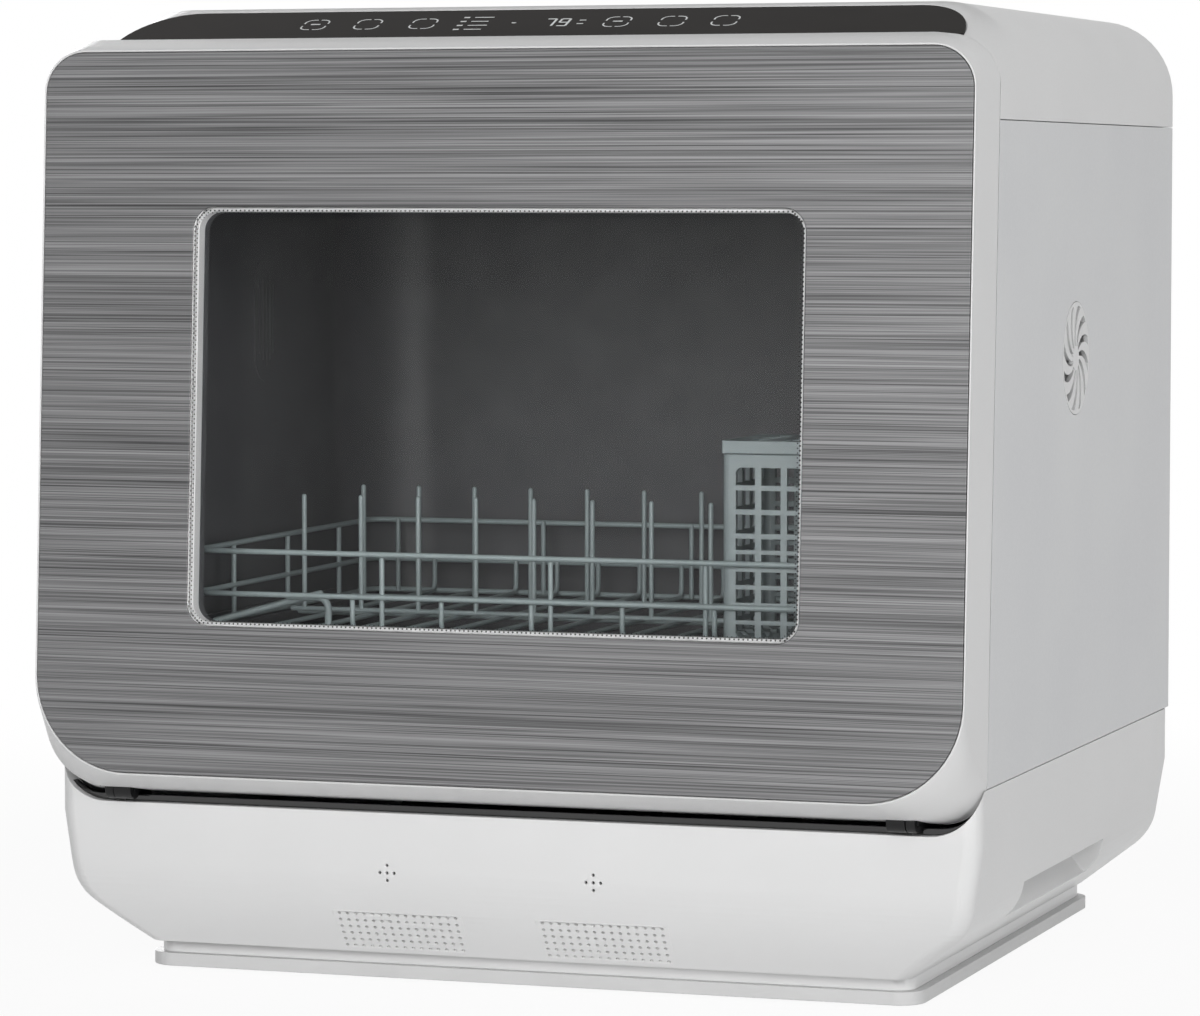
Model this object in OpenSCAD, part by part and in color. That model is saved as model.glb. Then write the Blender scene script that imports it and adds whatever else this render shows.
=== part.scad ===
// Countertop dishwasher with a drop-down window door, a sloped touch strip,
// a wire rack with a cutlery basket, and a built-in tank, pumps and drying fan.
// X is to the right, Y to the back and Z up; the origin is on the floor, at the
// middle of the footprint.

/* [Body] */
// Overall width
body_w = 420; // [400:1:440]
// Overall depth, from the lower edge of the door's face to the back
body_d = 388; // [376:1:410]
// Overall height
body_h = 426; // [418:1:440]
// Height of the seam between the base and the side panels
base_h = 95.8; // [94:0.1:98]
// Height of the top cover, down to its seam
cover_h = 50.8; // [44:0.1:56]
// Wall of the plastic cover and base
wall = 2.5; // [2:0.1:3]
// Thickness of the side and rear panels
panel_t = 2; // [1.6:0.1:2.4]
// Gap in the seams between the housing pieces
seam = 0.6; // [0.3:0.1:0.8]
// Radius of the long top edges
cover_r = 36; // [30:1:40]

/* [Control slope] */
// How far the slope falls from the top to the door
slope_drop = 15; // [12:0.5:18]
// How far the slope runs back from the door
slope_run = 39; // [36:1:44]
// Margin of the black glass strip at the housing's sides
strip_side = 17; // [14:0.5:24]
// Depth of the black glass strip
strip_d = 37.5; // [32:0.5:38]
// Length of the strip's curved ends
strip_end = 27; // [18:1:32]
// Thickness of the glass strip
strip_t = 1.4; // [1:0.1:1.6]

/* [Door] */
// Angle by which the door leans back
lean = 3.2; // [2.5:0.1:4]
// Thickness of the door
door_t = 38; // [36:0.5:40]
// Height of the door's lower edge
door_z = 81; // [80:0.5:83]
// Radius of the door's upper corners
rim_r_top = 22; // [18:1:26]
// Radius of the door's lower corners
rim_r_low = 18; // [15:1:22]
// Width of the door rim that shows round the face panel
rim_show = 1; // [0.8:0.1:1.5]
// Margin of the face panel at the door's sides
face_side = 1.5; // [1.2:0.1:3]
// Margin of the face panel at the door's lower edge
face_foot = 10; // [8:0.5:14]
// Margin of the face panel at the door's upper edge
face_head = 8; // [6:0.5:12]
// Radius of the face panel's upper corners
face_r_top = 17.5; // [14:0.5:22]
// Radius of the face panel's lower corners
face_r_low = 42; // [36:1:46]
// Thickness of the face panel
face_t = 3; // [2:0.2:4]
// Wall of the door rim
rim_wall = 2.8; // [2:0.1:3.2]
// Thickness of the inner door liner
liner_t = 4; // [3:0.2:5]
// Gap between the closed door and the housing
parting = 0.8; // [0.6:0.1:1]

/* [Window] */
// Width of the face panel beside the window
window_side = 70.5; // [64:0.5:84]
// Height of the face panel above the window
window_head = 66.9; // [60:0.1:80]
// Height of the window above the face panel's lower edge
window_rise = 64.6; // [58:0.2:70]
// Radius of the window's corners
window_r = 10; // [8:0.5:16]
// Depth at which the light frame in the window ends
reveal_d = 9.5; // [9:0.5:12]
// Wall of the light frame
reveal_wall = 1.6; // [1.2:0.1:2]
// Depth at which the dark lip behind the light frame ends
lip_d = 15; // [14:0.5:16]
// Distance by which the window widens behind that lip
flare = 8.5; // [7:0.5:10]
// Thickness of each glass pane
glass_t = 3; // [2.5:0.1:3.4]
// Depth of the front pane under the face panel's surface
pane_set = 0.3; // [0.2:0.1:0.5]

/* [Hinge and lock] */
// Distance of the hinge axis behind the door's face
hinge_back = 24; // [23:0.5:25]
// Height of the hinge axis above the door's lower edge
hinge_rise = 3; // [2.5:0.1:3.5]
// Distance of each hinge arm from the housing's side
hinge_side = 28; // [27:0.5:32]
// Diameter of the hinge pins
pin_d = 5; // [4:0.5:6]
// Play of each pin in its bore, on the radius
pin_play = 0.05; // [0.05:0.01:0.1]
// Thickness of the hinge arms
arm_t = 4; // [3:0.5:5]
// Width of the lock's strike tongue
strike_w = 24; // [20:1:28]

/* [Tub] */
// Space beside the tub, inside the housing
tub_side = 35; // [33:0.5:40]
// Wall of the tub
tub_wall = 2; // [1.5:0.1:2.5]
// Height of the tub's floor
tub_floor = 112; // [110:1:114]
// Distance of the tub's ceiling below the top
tub_head = 42; // [40:1:48]
// Space for the tank behind the tub
tub_rear = 83; // [78:1:88]
// Radius of the tub's rear corners
tub_r = 40; // [30:1:50]
// Radius of the tub's front opening
mouth_r = 20; // [16:1:24]
// Distance of the spray arm's axis from the door's face
spray_back = 176; // [172:1:180]
// Distance of the spray arm's tips from the tub's side walls
spray_side = 57; // [50:1:70]

/* [Base] */
// Distance of the base's front from the door's face
base_set = 27; // [26:0.5:28]
// Height of the base's front edge under the door
base_lip = 76.8; // [76:0.1:77]
// Radius of the base's upright corners
base_r = 8; // [5:1:12]
// Distance of the plinth from the housing's sides
plinth_side = 32; // [30:1:40]
// Height of the plinth
plinth_h = 7; // [6:0.5:8]
// Distance of the plinth from the door's face
plinth_set = 49; // [47:1:54]
// Distance of the plinth from the back
plinth_rear = 25; // [20:1:30]
// Length of each side's finger recess
scoop_l = 150; // [120:5:160]

/* [Rack] */
// Space between the rack and the tub's side walls
rack_side = 11; // [9:0.5:16]
// Space between the rack and the tub's rear wall
rack_rear = 14; // [10:1:20]
// Distance of the rack from the door's face
rack_set = 73; // [72:1:76]
// Height of the rack's wire floor
rack_z = 151; // [150:0.5:153]
// Height of the rack's upper rail
rail_high = 185; // [180:1:190]
// Height of the rack's lower rail
rail_low = 166; // [162:1:170]
// Diameter of the rails' wire
rail_d = 2.8; // [2.4:0.1:3.2]
// Diameter of the floor's and the tines' wire
wire_d = 2.3; // [2:0.1:2.6]
// Height of the tines' tips
tine_z = 205; // [195:1:215]
// Distance between tines
tine_step = 28; // [24:1:32]
// Distance of the first tines from the rack's sides
tine_side = 22; // [18:1:30]
// Distance of the front row of tines from the rack's front
tine_front = 76; // [72:1:80]
// Distance of the rear row of tines from the rack's back
tine_rear = 68; // [60:1:76]

/* [Cutlery basket] */
// Width of the basket
basket_w = 79; // [70:1:82]
// Depth of the basket
basket_d = 61; // [54:1:64]
// Distance of the basket from the rack's side
basket_side = 3; // [2.5:0.1:6]
// Height of the lid's top
basket_top = 238; // [232:1:242]
// Thickness of the lid
lid_t = 5.6; // [4:0.2:7]
// Wall of the basket
basket_wall = 2.4; // [2:0.2:3]

/* [Side vent] */
// Diameter of the swirl vent
vent_d = 50; // [44:1:54]
// Number of blades in the swirl vent
vent_blades = 12; // [8:1:14]
// Distance of the vent from the door's face
vent_back = 192.5; // [185:0.5:200]
// Height of the vent
vent_z = 271; // [262:1:280]

/* [Hidden] */
$fn = 64;

half_w = body_w / 2;
y0 = -body_d / 2;
y1 = body_d / 2;
fit = 0.3;

// Colours
white = "gainsboro";
dark = [0.23, 0.24, 0.25];
black = [0.07, 0.07, 0.08];
steel = [0.62, 0.63, 0.64];
wire = [0.64, 0.70, 0.70];
clear = [0.6, 0.65, 0.68];

// The door's own frame: its origin is on the face's plane at the door's lower edge,
// Y goes into the door and Z up along its face.
rim_foot = face_foot - rim_show;
door_y = y0 - (rim_foot + door_t * sin(lean)) * sin(lean);
door_low = door_t * tan(lean);
slope_z = body_h - slope_drop;
door_high = (slope_z - door_z) / cos(lean) + door_low;
rim_front = door_low + rim_foot;
face_low = door_low + face_foot;
face_high = door_high - face_head;
face_w = body_w - 2 * face_side;
window_w = face_w - 2 * window_side;
window_low = face_low + window_rise;
window_h = face_high - window_head - window_low;

// The slope's own frame: its origin is on the door's parting plane and Y climbs the slope.
house_n = door_t + parting;
slope_y = door_y + (slope_z - door_z) * tan(lean) + house_n / cos(lean);
slope_a = atan2(slope_drop, slope_run);
slope_l = norm([slope_drop, slope_run]);

strip_w = body_w - 2 * strip_side;
cover_z = body_h - cover_h;

hinge_y = y0 + hinge_back;
hinge_z = door_z + hinge_rise;
// The hinge axis in the door's own frame
hinge_n = (hinge_y - door_y) * cos(lean) - hinge_rise * sin(lean);
hinge_v = (hinge_y - door_y) * sin(lean) + hinge_rise * cos(lean);
eye_r = pin_d / 2 + 3;
arm_x = half_w - hinge_side;
knuckle_l = 8;
knuckle_x = arm_x - arm_t / 2 - fit - knuckle_l;

tub_w = body_w - 2 * tub_side;
tub_top = body_h - tub_head;
tub_back = y1 - tub_rear;
spray_l = tub_w - 2 * spray_side;
spray_y = y0 + spray_back;
frame_t = 11;
frame_n = house_n + frame_t;
frame_inset = wall + fit;
frame_low = door_low + frame_inset;
frame_high = door_high - frame_inset;
// The tub's mouth in the door's own frame
mouth_low = (tub_floor - door_z) / cos(lean) + house_n * tan(lean) + 1;
mouth_high = (tub_top - door_z) / cos(lean) + house_n * tan(lean);
seal_gap = 1.5;
seal_w = 5;
seal_root = 4;

// The strike's tongue, its room to rise as the door opens, and its hole
strike_v = door_high - 14.5;
strike_t = 5;
strike_rise = 3.2;
strike_n = frame_n + 15.5;
strike_hole_n = frame_n + 7.2;
strike_hole_l = 10;
strike_hole_w = 9;
// The lock's lever, which swings its tooth up into that hole
lock_y = y0 + 95;
lock_z = tub_top + tub_wall + 5;
lock_pin_d = 3;
tooth_y = y0 + 74.2;
tooth_rise = 3.7;

lip_r = rim_r_low + door_z - base_lip;
trim_t = 2.6;
ledge_z = base_lip - wall;
plinth_w = body_w - 2 * plinth_side;
plinth_y0 = y0 + plinth_set;
plinth_y1 = y1 - plinth_rear;
deck_z = plinth_h;

sump_side = 97;
sump_x = tub_w / 2 - sump_side;
sump_r = 34;
sump_h = 28;

rack_y = y0 + rack_set;
rack_w = tub_w - 2 * rack_side;
rack_x = rack_w / 2;
rack_back = tub_back - rack_rear;
rack_d = rack_back - rack_y;
// The outermost posts and floor wires, from the rack's sides
post_side = 14;
post_step = (rack_x - post_side) / 2;
grid_side = 29;
grid_step = (rack_x - grid_side) / 5;
basket_x = rack_x - basket_side - basket_w;
basket_y = rack_y + rail_d / 2 + 1.2;
basket_z = rack_z + wire_d / 2 + fit;
basket_frame = 6.5;

fan_y = y0 + vent_back;
fan_r = vent_d / 2 - 2;

// Flat outlines ------------------------------------------------------------

// A rounded rectangle about the Y axis, from y = low to y = high, with its own
// radius at the upper and the lower corners
module tile(w, low, high, r_top, r_low) {
    mid = (low + r_low + high - r_top) / 2;
    for (s = [-1, 1]) {
        translate([s * (w / 2 - r_top), high - r_top]) circle(r_top);
        translate([s * (w / 2 - r_low), low + r_low]) circle(r_low);
    }
    translate([-w / 2, low + r_low]) square([w, high - r_top - low - r_low]);
    translate([-w / 2 + r_top, mid]) square([w - 2 * r_top, high - mid]);
    translate([-w / 2 + r_low, low]) square([w - 2 * r_low, mid - low]);
}

// A block with rounded upright edges, between two opposite corners
module round_box(xa, xb, ya, yb, za, zb, r) {
    translate([0, 0, za]) linear_extrude(zb - za) {
        for (x = [xa + r, xb - r], y = [ya + r, yb - r]) translate([x, y]) circle(r);
        translate([xa + r, ya]) square([xb - xa - 2 * r, yb - ya]);
        translate([xa, ya + r]) square([xb - xa, yb - ya - 2 * r]);
    }
}

// Places its children in the door's own frame
module at_door() {
    translate([0, door_y, door_z]) rotate([-lean, 0, 0]) children();
}

// Places its children in the slope's own frame
module at_slope() {
    translate([0, slope_y, slope_z]) rotate([slope_a, 0, 0]) children();
}

// Extrudes an upright outline from the depth n0 to n1
module slab(n0, n1) {
    translate([0, n1, 0]) rotate([90, 0, 0]) linear_extrude(n1 - n0) children();
}

// Extrudes a side-view outline, drawn in Y and Z, from x0 to x1
module side_slab(x0, x1) {
    translate([x0, 0, 0]) rotate([90, 0, 90]) linear_extrude(x1 - x0) children();
}

module rod(from, to, d) {
    v = to - from;
    l = norm(v);
    translate(from) rotate([0, acos(v[2] / l), atan2(v[1], v[0])]) cylinder(h = l, d = d, $fn = 24);
}

// The half-space behind the plane at depth n of the door
module behind(n) {
    at_door() translate([-body_w, n, -body_h]) cube([2 * body_w, 2 * body_d, 3 * body_h]);
}

// Housing ------------------------------------------------------------------

// The outer form of the housing's upper part, smaller by inset on every side
module cover_form(inset, front) {
    hull() {
        at_door() slab(house_n - front, house_n - front + 0.1)
            tile(body_w - 2 * inset, 200, door_high - inset, rim_r_top - inset, 10, $fn = 48);
        translate([0, slope_y + slope_run, 0]) slab(0, y1 - slope_y - slope_run - inset)
            tile(body_w - 2 * inset, 200, body_h - inset, cover_r - inset, 10, $fn = 48);
    }
}

module strip_outline(grow) {
    run = strip_d + grow;
    half = strip_w / 2 + grow;
    ends = [for (a = [0:7.5:90]) [half - strip_end + strip_end * cos(a), run * sin(a)]];
    left = [for (a = [90:-7.5:0]) [-half + strip_end - strip_end * cos(a), run * sin(a)]];
    polygon(concat(ends, left));
}

fill_side = 90;
fill_x = -half_w + fill_side;
fill_y = y1 - 48;
fill_r = 26;
fill_neck = 20;
fill_gap = 0.4;

module top_cover() {
    color(white) difference() {
        intersection() {
            difference() {
                cover_form(0, 0);
                cover_form(wall, 1);
            }
            translate([-body_w, -body_d, cover_z]) cube([2 * body_w, 2 * body_d, body_h]);
        }
        at_slope() translate([0, 0, -strip_t - 0.1]) linear_extrude(10) strip_outline(0.2);
        translate([fill_x, fill_y, body_h - 2 * wall]) cylinder(h = 4 * wall, r = fill_r + fill_gap);
        translate([fill_x - ear_x - 2.4, lid_axis_y - 6, body_h - 2 * wall])
            cube([2 * ear_x + 4.8, 9.2, 4 * wall]);
    }
}

module side_panel(side) {
    low = base_h + seam / 2;
    high = cover_z - seam / 2;
    color(white) intersection() {
        translate([side > 0 ? half_w - panel_t : -half_w, -body_d, low])
            cube([panel_t, body_d + y1, high - low]);
        behind(house_n);
    }
}

module side_panel_left() {
    side_panel(-1);
}

module side_panel_right() {
    difference() {
        side_panel(1);
        translate([half_w, fan_y, vent_z]) rotate([0, 90, 0])
            cylinder(h = 20, d = vent_d + 2 * 0.2, center = true);
    }
}

// A disc pierced by curved blades that swirl about its middle
module side_vent() {
    hub = 5.5;
    rim = vent_d / 2 - 1.5;
    blade_r = rim * 0.72;
    slot_w = 3.4;
    color(white) translate([half_w - panel_t, fan_y, vent_z]) rotate([0, 90, 0]) difference() {
        cylinder(h = panel_t, d = vent_d);
        translate([0, 0, -1]) linear_extrude(panel_t + 2) intersection() {
            difference() {
                circle(rim);
                circle(hub);
            }
            for (i = [0:vent_blades - 1]) rotate(i * 360 / vent_blades) translate([blade_r, 2])
                difference() {
                    circle(blade_r);
                    translate([0.8, -slot_w]) circle(blade_r);
                }
        }
    }
}

// The rear pocket for the hoses, its two ports, and the socket for the mains lead
port_side = 70;
port_x = half_w - port_side;
port_z = base_h + 32.2;
port_w = 92;
port_h = 46;
port_d = 34;
port_in = 3;
inlet_x = port_x - 24;
drain_x = port_x + 22;
power_side = 23;
power_x = -half_w + power_side;
power_z = base_h + 34.2;
power_w = 27.6;
power_h = 47.6;
power_d = 26;
socket_w = 20;
socket_h = 28;
socket_d = 20;
// The rear louvres
louvre_x = port_x - 45;
louvre_z = port_z + 62;
louvre_w = 90;
louvre_h = 4;
louvre_step = 13;
louvres = 10;

module rear_panel() {
    low = base_h + seam / 2;
    high = cover_z - seam / 2;
    span = half_w - panel_t - 0.2;
    color(white) difference() {
        union() {
            translate([-span, y1 - panel_t, low]) cube([2 * span, panel_t, high - low]);
            translate([port_x, 0, port_z]) slab(y1 - port_d, y1)
                tile(port_w, -port_h / 2, port_h / 2, 6, 6);
        }
        translate([port_x, 0, port_z]) slab(y1 - port_d + panel_t, y1 + 1)
            tile(port_w - 2 * panel_t, -port_h / 2 + panel_t, port_h / 2 - panel_t, 4, 4);
        for (x = [inlet_x, drain_x])
            translate([x, y1 - port_d, port_z]) rotate([90, 0, 0])
                cylinder(h = 20, r = 10, center = true);
        translate([power_x, 0, power_z]) slab(y1 - 10, y1 + 1)
            tile(power_w + 0.4, -power_h / 2 - 0.2, power_h / 2 + 0.2, 4.2, 4.2);
        for (i = [0:louvres - 1]) translate([louvre_x, 0, louvre_z + louvre_step * i])
            slab(y1 - 10, y1 + 1) tile(louvre_w, 0, louvre_h, 1.9, 1.9);
    }
}

// Base ---------------------------------------------------------------------

// Half width of the base at each height, as [inset from the full size, height]:
// nearly upright, then round a curve and in along a shallow slope to the collar
flank_r = 24;
flank_in = 27.6;
flank_z = 49.5;
collar_in = 35;
collar_z = 13;
flank = concat(
    [[0, base_h], [0, 72]],
    [for (a = [9:7:58]) [flank_in - flank_r * cos(a), flank_z - flank_r * sin(a)]],
    [[collar_in, collar_z]]
);

// How far the front falls back below its bend, and the slope's steepness
bend_z = 35;
bend_soft = 2;
front_slope = 0.77;
function front_in(z) = front_slope * (bend_z - z + norm([bend_z - z, bend_soft])) / 2;
rear_slope = 0.7;

// The base's closed form, smaller by inset on every side
module base_form(inset) {
    front = y0 + base_set;
    r = max(base_r - inset, 2);
    hull() for (p = flank) {
        t = p[0] + inset;
        z = p[1] == base_h ? base_h + (inset > 0 ? 1 : 0) : p[1] + (inset > 0 ? 0.8 * inset : 0);
        round_box(-half_w + t, half_w - t, front + front_in(z) + inset, y1 - inset - rear_slope * p[0],
            z - 0.05, z, r, $fn = 32);
    }
}

module collar_form(inset) {
    round_box(-plinth_w / 2 + 4 + inset, plinth_w / 2 - 4 - inset, plinth_y0 + 3 + inset,
        plinth_y1 - 3 - inset, plinth_h, collar_z + 8, 9 - inset);
}

// The finger recess in a flank: a wedge that is deepest under its flat roof
scoop_z = 46.5;
scoop_h = 15;
scoop_in = 22;
module scoop(side, grow) {
    y = y0 + 193;
    outline = [[half_w - scoop_in - grow, scoop_z + grow], [half_w + 5, scoop_z + grow],
        [half_w + 5, scoop_z - scoop_h - 12], [half_w - 9 - grow, scoop_z - scoop_h - 6 - grow],
        [half_w - scoop_in - grow, scoop_z - 5 - grow]];
    mirror([side < 0 ? 1 : 0, 0, 0]) slab(y - scoop_l / 2 - grow, y + scoop_l / 2 + grow)
        polygon(outline);
}

// The two grilles on the sloping lower front, and the groups of holes above them
grille_z = 23.8;
grille_rows = 6;
grille_cols = 15;
grille_pitch = 3.85;
grille_hole = 1.7;
grille_x = 46.9;
grille_mid = -4.6;
grille_w = grille_cols * grille_pitch + 2;
grille_h = grille_rows * grille_pitch - 1;
hole_z = 50.6;
hole_x = 47.2;
hole_mid = -7.3;
hole_pitch = 3.3;
hole_d = 1.3;

// Places its children on the lower front: X along it, Y up the slope, Z outwards
module at_lower_front(x) {
    translate([x, y0 + base_set + front_slope * (bend_z - grille_z), grille_z])
        rotate([90 + atan(front_slope), 0, 0]) children();
}

module grille_blank(grow) {
    under = grow > 0 ? 5 : 0;
    translate([-grille_w / 2 - grow, -grille_h / 2 - grow, -wall - under])
        cube([grille_w + 2 * grow, grille_h + 2 * grow, wall + 2 * under]);
}

module grille(side) {
    color(white) at_lower_front(grille_mid + side * grille_x) difference() {
        grille_blank(0);
        for (i = [0:grille_cols - 1], j = [0:grille_rows - 1])
            translate([(i - (grille_cols - 1) / 2) * grille_pitch,
                (j - (grille_rows - 1) / 2) * grille_pitch, -wall - 1])
            cylinder(h = wall + 2, d = grille_hole, $fn = 16);
    }
}

module grille_left() {
    grille(-1);
}

module grille_right() {
    grille(1);
}

module base_shell() {
    front = y0 + base_set;
    color(white) difference() {
        union() {
            base_form(0);
            collar_form(0);
        }
        difference() {
            union() {
                base_form(wall);
                collar_form(wall);
                translate([0, 0, plinth_h - 1]) linear_extrude(collar_z)
                    translate([-plinth_w / 2 + 8, plinth_y0 + 8])
                    square([plinth_w - 16, plinth_y1 - plinth_y0 - 16]);
            }
            // The ledge under the door stays
            translate([-half_w, front - 1, ledge_z]) cube([body_w, 26, base_h]);
            for (s = [-1, 1]) scoop(s, wall);
        }
        for (s = [-1, 1]) scoop(s, 0);
        for (s = [-1, 1]) at_lower_front(grille_mid + s * grille_x) grille_blank(0.1);
        for (s = [-1, 1], p = [[0, 0], [1, 0], [-1, 0], [0, 1], [0, -1]])
            translate([hole_mid + s * hole_x + p[0] * hole_pitch, front + 5, hole_z + p[1] * hole_pitch])
            rotate([90, 0, 0]) cylinder(h = 10, d = hole_d, $fn = 16);
        // The door's lower edge drops into the front
        intersection() {
            slab(y0, y1) tile(body_w + 0.2, base_lip, body_h, 20, lip_r);
            difference() {
                translate([-body_w, y0, 0]) cube([2 * body_w, body_d, body_h]);
                behind(house_n);
            }
        }
        // Room behind the door for the front frame and its hinge arms
        intersection() {
            translate([-half_w + wall, y0, base_lip]) cube([body_w - 2 * wall, 60, body_h]);
            behind(house_n - 0.1);
        }
    }
}

module plinth() {
    color(white) difference() {
        round_box(-plinth_w / 2, plinth_w / 2, plinth_y0, plinth_y1, 1.2, plinth_h, 12);
        for (x = [-1, 1], y = [plinth_y0 + 24, plinth_y1 - 24])
            translate([x * (plinth_w / 2 - 24), y, 0]) cylinder(h = 3.2, r = 12.2);
    }
}

module foot(x, y) {
    color(black) translate([x * (plinth_w / 2 - 24), y, 0]) {
        cylinder(h = 3.2, r = 12);
    }
}

module foot_front_left() {
    foot(-1, plinth_y0 + 24);
}

module foot_front_right() {
    foot(1, plinth_y0 + 24);
}

module foot_rear_left() {
    foot(-1, plinth_y1 - 24);
}

module foot_rear_right() {
    foot(1, plinth_y1 - 24);
}

// Front of the housing -------------------------------------------------------

module mouth(grow) {
    tile(tub_w + 2 * grow, mouth_low - grow, mouth_high + grow, mouth_r + grow, mouth_r + grow);
}

module front_frame() {
    color(white) at_door() difference() {
        slab(house_n, frame_n) tile(body_w - 2 * frame_inset, frame_low, frame_high,
            rim_r_top - frame_inset, rim_r_low - frame_inset);
        slab(house_n - 1, frame_n + 1) mouth(0);
        slab(house_n - 1, house_n + seal_root) difference() {
            mouth(seal_gap + seal_w);
            mouth(seal_gap);
        }
        translate([-strike_w / 2 - fit, house_n - 1, strike_v - fit])
            cube([strike_w + 2 * fit, frame_t + 2, strike_t + fit + strike_rise]);
    }
}

module tub_seal() {
    color(black) at_door() slab(door_t - 0.1, house_n + seal_root) difference() {
        mouth(seal_gap + seal_w - 0.1);
        mouth(seal_gap + 0.1);
    }
}

module tub_form(grow, front) {
    translate([0, 0, tub_floor - grow]) linear_extrude(tub_top - tub_floor + 2 * grow) {
        square_w = tub_w + 2 * grow;
        for (s = [-1, 1]) translate([s * (tub_w / 2 - tub_r), tub_back - tub_r]) circle(tub_r + grow);
        translate([-square_w / 2, front]) square([square_w, tub_back - tub_r - front]);
        translate([-tub_w / 2 + tub_r, front]) square([tub_w - 2 * tub_r, tub_back + grow - front]);
    }
}

flange_w = 8;

module tub() {
    color(dark) difference() {
        intersection() {
            tub_form(tub_wall, y0);
            behind(frame_n + tub_wall);
        }
        tub_form(0, y0 - 1);
        translate([sump_x, spray_y, tub_floor - 10]) cylinder(h = 20, r = sump_r);
        translate([0, spray_y, tub_floor - 10]) cylinder(h = 20, r = pipe_r + 0.2);
    }
}

// The ring round the tub's mouth, clamped between the tub and the front frame
module tub_flange() {
    color(dark) at_door() difference() {
        slab(frame_n, frame_n + tub_wall) mouth(flange_w);
        slab(frame_n - 1, frame_n + tub_wall + 1) mouth(0);
    }
}

module gap_trim() {
    from = y0 + base_set + 4;
    door_gap = 1.2;
    color(black) difference() {
        intersection() {
            slab(from, from + 5.5) difference() {
                tile(body_w + 0.2, base_lip, body_h, 20, lip_r);
                tile(body_w + 2 * door_gap, door_z - door_gap, body_h, 20, rim_r_low + door_gap);
            }
            translate([-half_w + 4, y0, base_lip]) cube([body_w - 8, 60, lip_r * 0.8]);
        }
        for (s = [-1, 1]) translate([s * arm_x, from, door_z])
            cube([arm_t + 2 * fit, 20, 20], center = true);
    }
}

module control_glass() {
    color(black) at_slope() translate([0, 0, -strip_t - 0.1]) linear_extrude(strip_t) strip_outline(0);
}

board_side = 78;
board_t = 1.6;

module control_board() {
    board_w = strip_w - 2 * board_side;
    color("darkgreen") at_slope() translate([-board_w / 2, 6, -wall - 0.2 - board_t])
        cube([board_w, strip_d - 10, board_t]);
}

// Hinges and lock ------------------------------------------------------------

// A point on the hinge axis, in the door's own frame
module at_hinge() {
    translate([0, hinge_n, hinge_v]) children();
}

module x_rod(x0, x1, r) {
    translate([x0, 0, 0]) rotate([0, 90, 0]) cylinder(h = x1 - x0, r = r);
}

module hinge_arm(side) {
    web_low = hinge_v - eye_r;
    web_high = frame_low - 0.7;
    leg = 11;
    color(steel) mirror([side < 0 ? 1 : 0, 0, 0]) at_door() difference() {
        union() {
            at_hinge() x_rod(arm_x - arm_t / 2, arm_x + arm_t / 2, eye_r);
            side_slab(arm_x - arm_t / 2, arm_x + arm_t / 2) polygon([
                [hinge_n, web_low], [frame_n + leg, web_low], [frame_n + leg, frame_low + 8],
                [frame_n + leg - 4, frame_low + 14], [frame_n, frame_low + 14], [frame_n, web_high],
                [hinge_n, web_high]
            ]);
        }
        at_hinge() x_rod(arm_x - arm_t, arm_x + arm_t, pin_d / 2);
    }
}

module hinge_arm_left() {
    hinge_arm(-1);
}

module hinge_arm_right() {
    hinge_arm(1);
}

module hinge_pin(side) {
    color(steel) mirror([side < 0 ? 1 : 0, 0, 0]) at_door() at_hinge()
        x_rod(knuckle_x - 0.5, arm_x + arm_t / 2 + 0.8, pin_d / 2);
}

module hinge_pin_left() {
    hinge_pin(-1);
}

module hinge_pin_right() {
    hinge_pin(1);
}

liner_n = door_t - 0.5 - liner_t;

module hinge_bracket(side) {
    color(steel) mirror([side < 0 ? 1 : 0, 0, 0]) at_door() difference() {
        union() {
            at_hinge() x_rod(knuckle_x, knuckle_x + knuckle_l, eye_r);
            translate([knuckle_x, hinge_n - 4, hinge_v]) cube([knuckle_l, liner_n - hinge_n + 4, 26]);
        }
        at_hinge() x_rod(knuckle_x - 1, knuckle_x + knuckle_l + 1, pin_d / 2 + pin_play);
    }
}

module hinge_bracket_left() {
    hinge_bracket(-1);
}

module hinge_bracket_right() {
    hinge_bracket(1);
}

module door_strike() {
    color(steel) at_door() difference() {
        translate([-strike_w / 2, liner_n + liner_t, strike_v])
            cube([strike_w, strike_n - liner_n - liner_t, strike_t]);
        translate([-strike_hole_w / 2, strike_hole_n - strike_hole_l / 2, strike_v - 1])
            cube([strike_hole_w, strike_hole_l, strike_t + 2]);
    }
}

lock_w = 7;
cheek_t = 3;
cheek_gap = 0.4;

module lock_bracket() {
    outer = lock_w / 2 + cheek_gap + cheek_t;
    color(steel) {
        for (s = [-1, 1]) translate([s * (outer - cheek_t / 2), lock_y, tub_top + tub_wall])
            translate([-cheek_t / 2, -5, 0]) cube([cheek_t, 10, lock_z + 4 - tub_top - tub_wall]);
        translate([0, lock_y, lock_z]) x_rod(-outer, outer, lock_pin_d / 2);
    }
}

// The lock's lever: level at rest, and its tooth rises into the strike
module lock_hook() {
    reach = lock_y - tooth_y;
    color(steel) translate([0, lock_y, lock_z]) difference() {
        union() {
            x_rod(-lock_w / 2, lock_w / 2, 3.6);
            side_slab(-lock_w / 2, lock_w / 2) polygon([
                [0, -3.6], [-reach - 2, -3.6], [-reach - 2, tooth_rise - 1], [-reach - 1, tooth_rise],
                [-reach + 2, tooth_rise], [-reach + 2, -1.4], [-3, -1.4], [0, 0]
            ]);
        }
        x_rod(-lock_w, lock_w, lock_pin_d / 2 + pin_play);
    }
}

// Door -----------------------------------------------------------------------

reveal_fit = 0.2;
pane_fit = 0.15;
pane_rest = 4;

module face_tile(grow) {
    tile(face_w + 2 * grow, face_low - grow, face_high + grow, face_r_top + grow, face_r_low + grow);
}

module window_tile(grow) {
    tile(window_w + 2 * grow, window_low - grow, window_low + window_h + grow,
        window_r + grow, window_r + grow);
}

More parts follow.
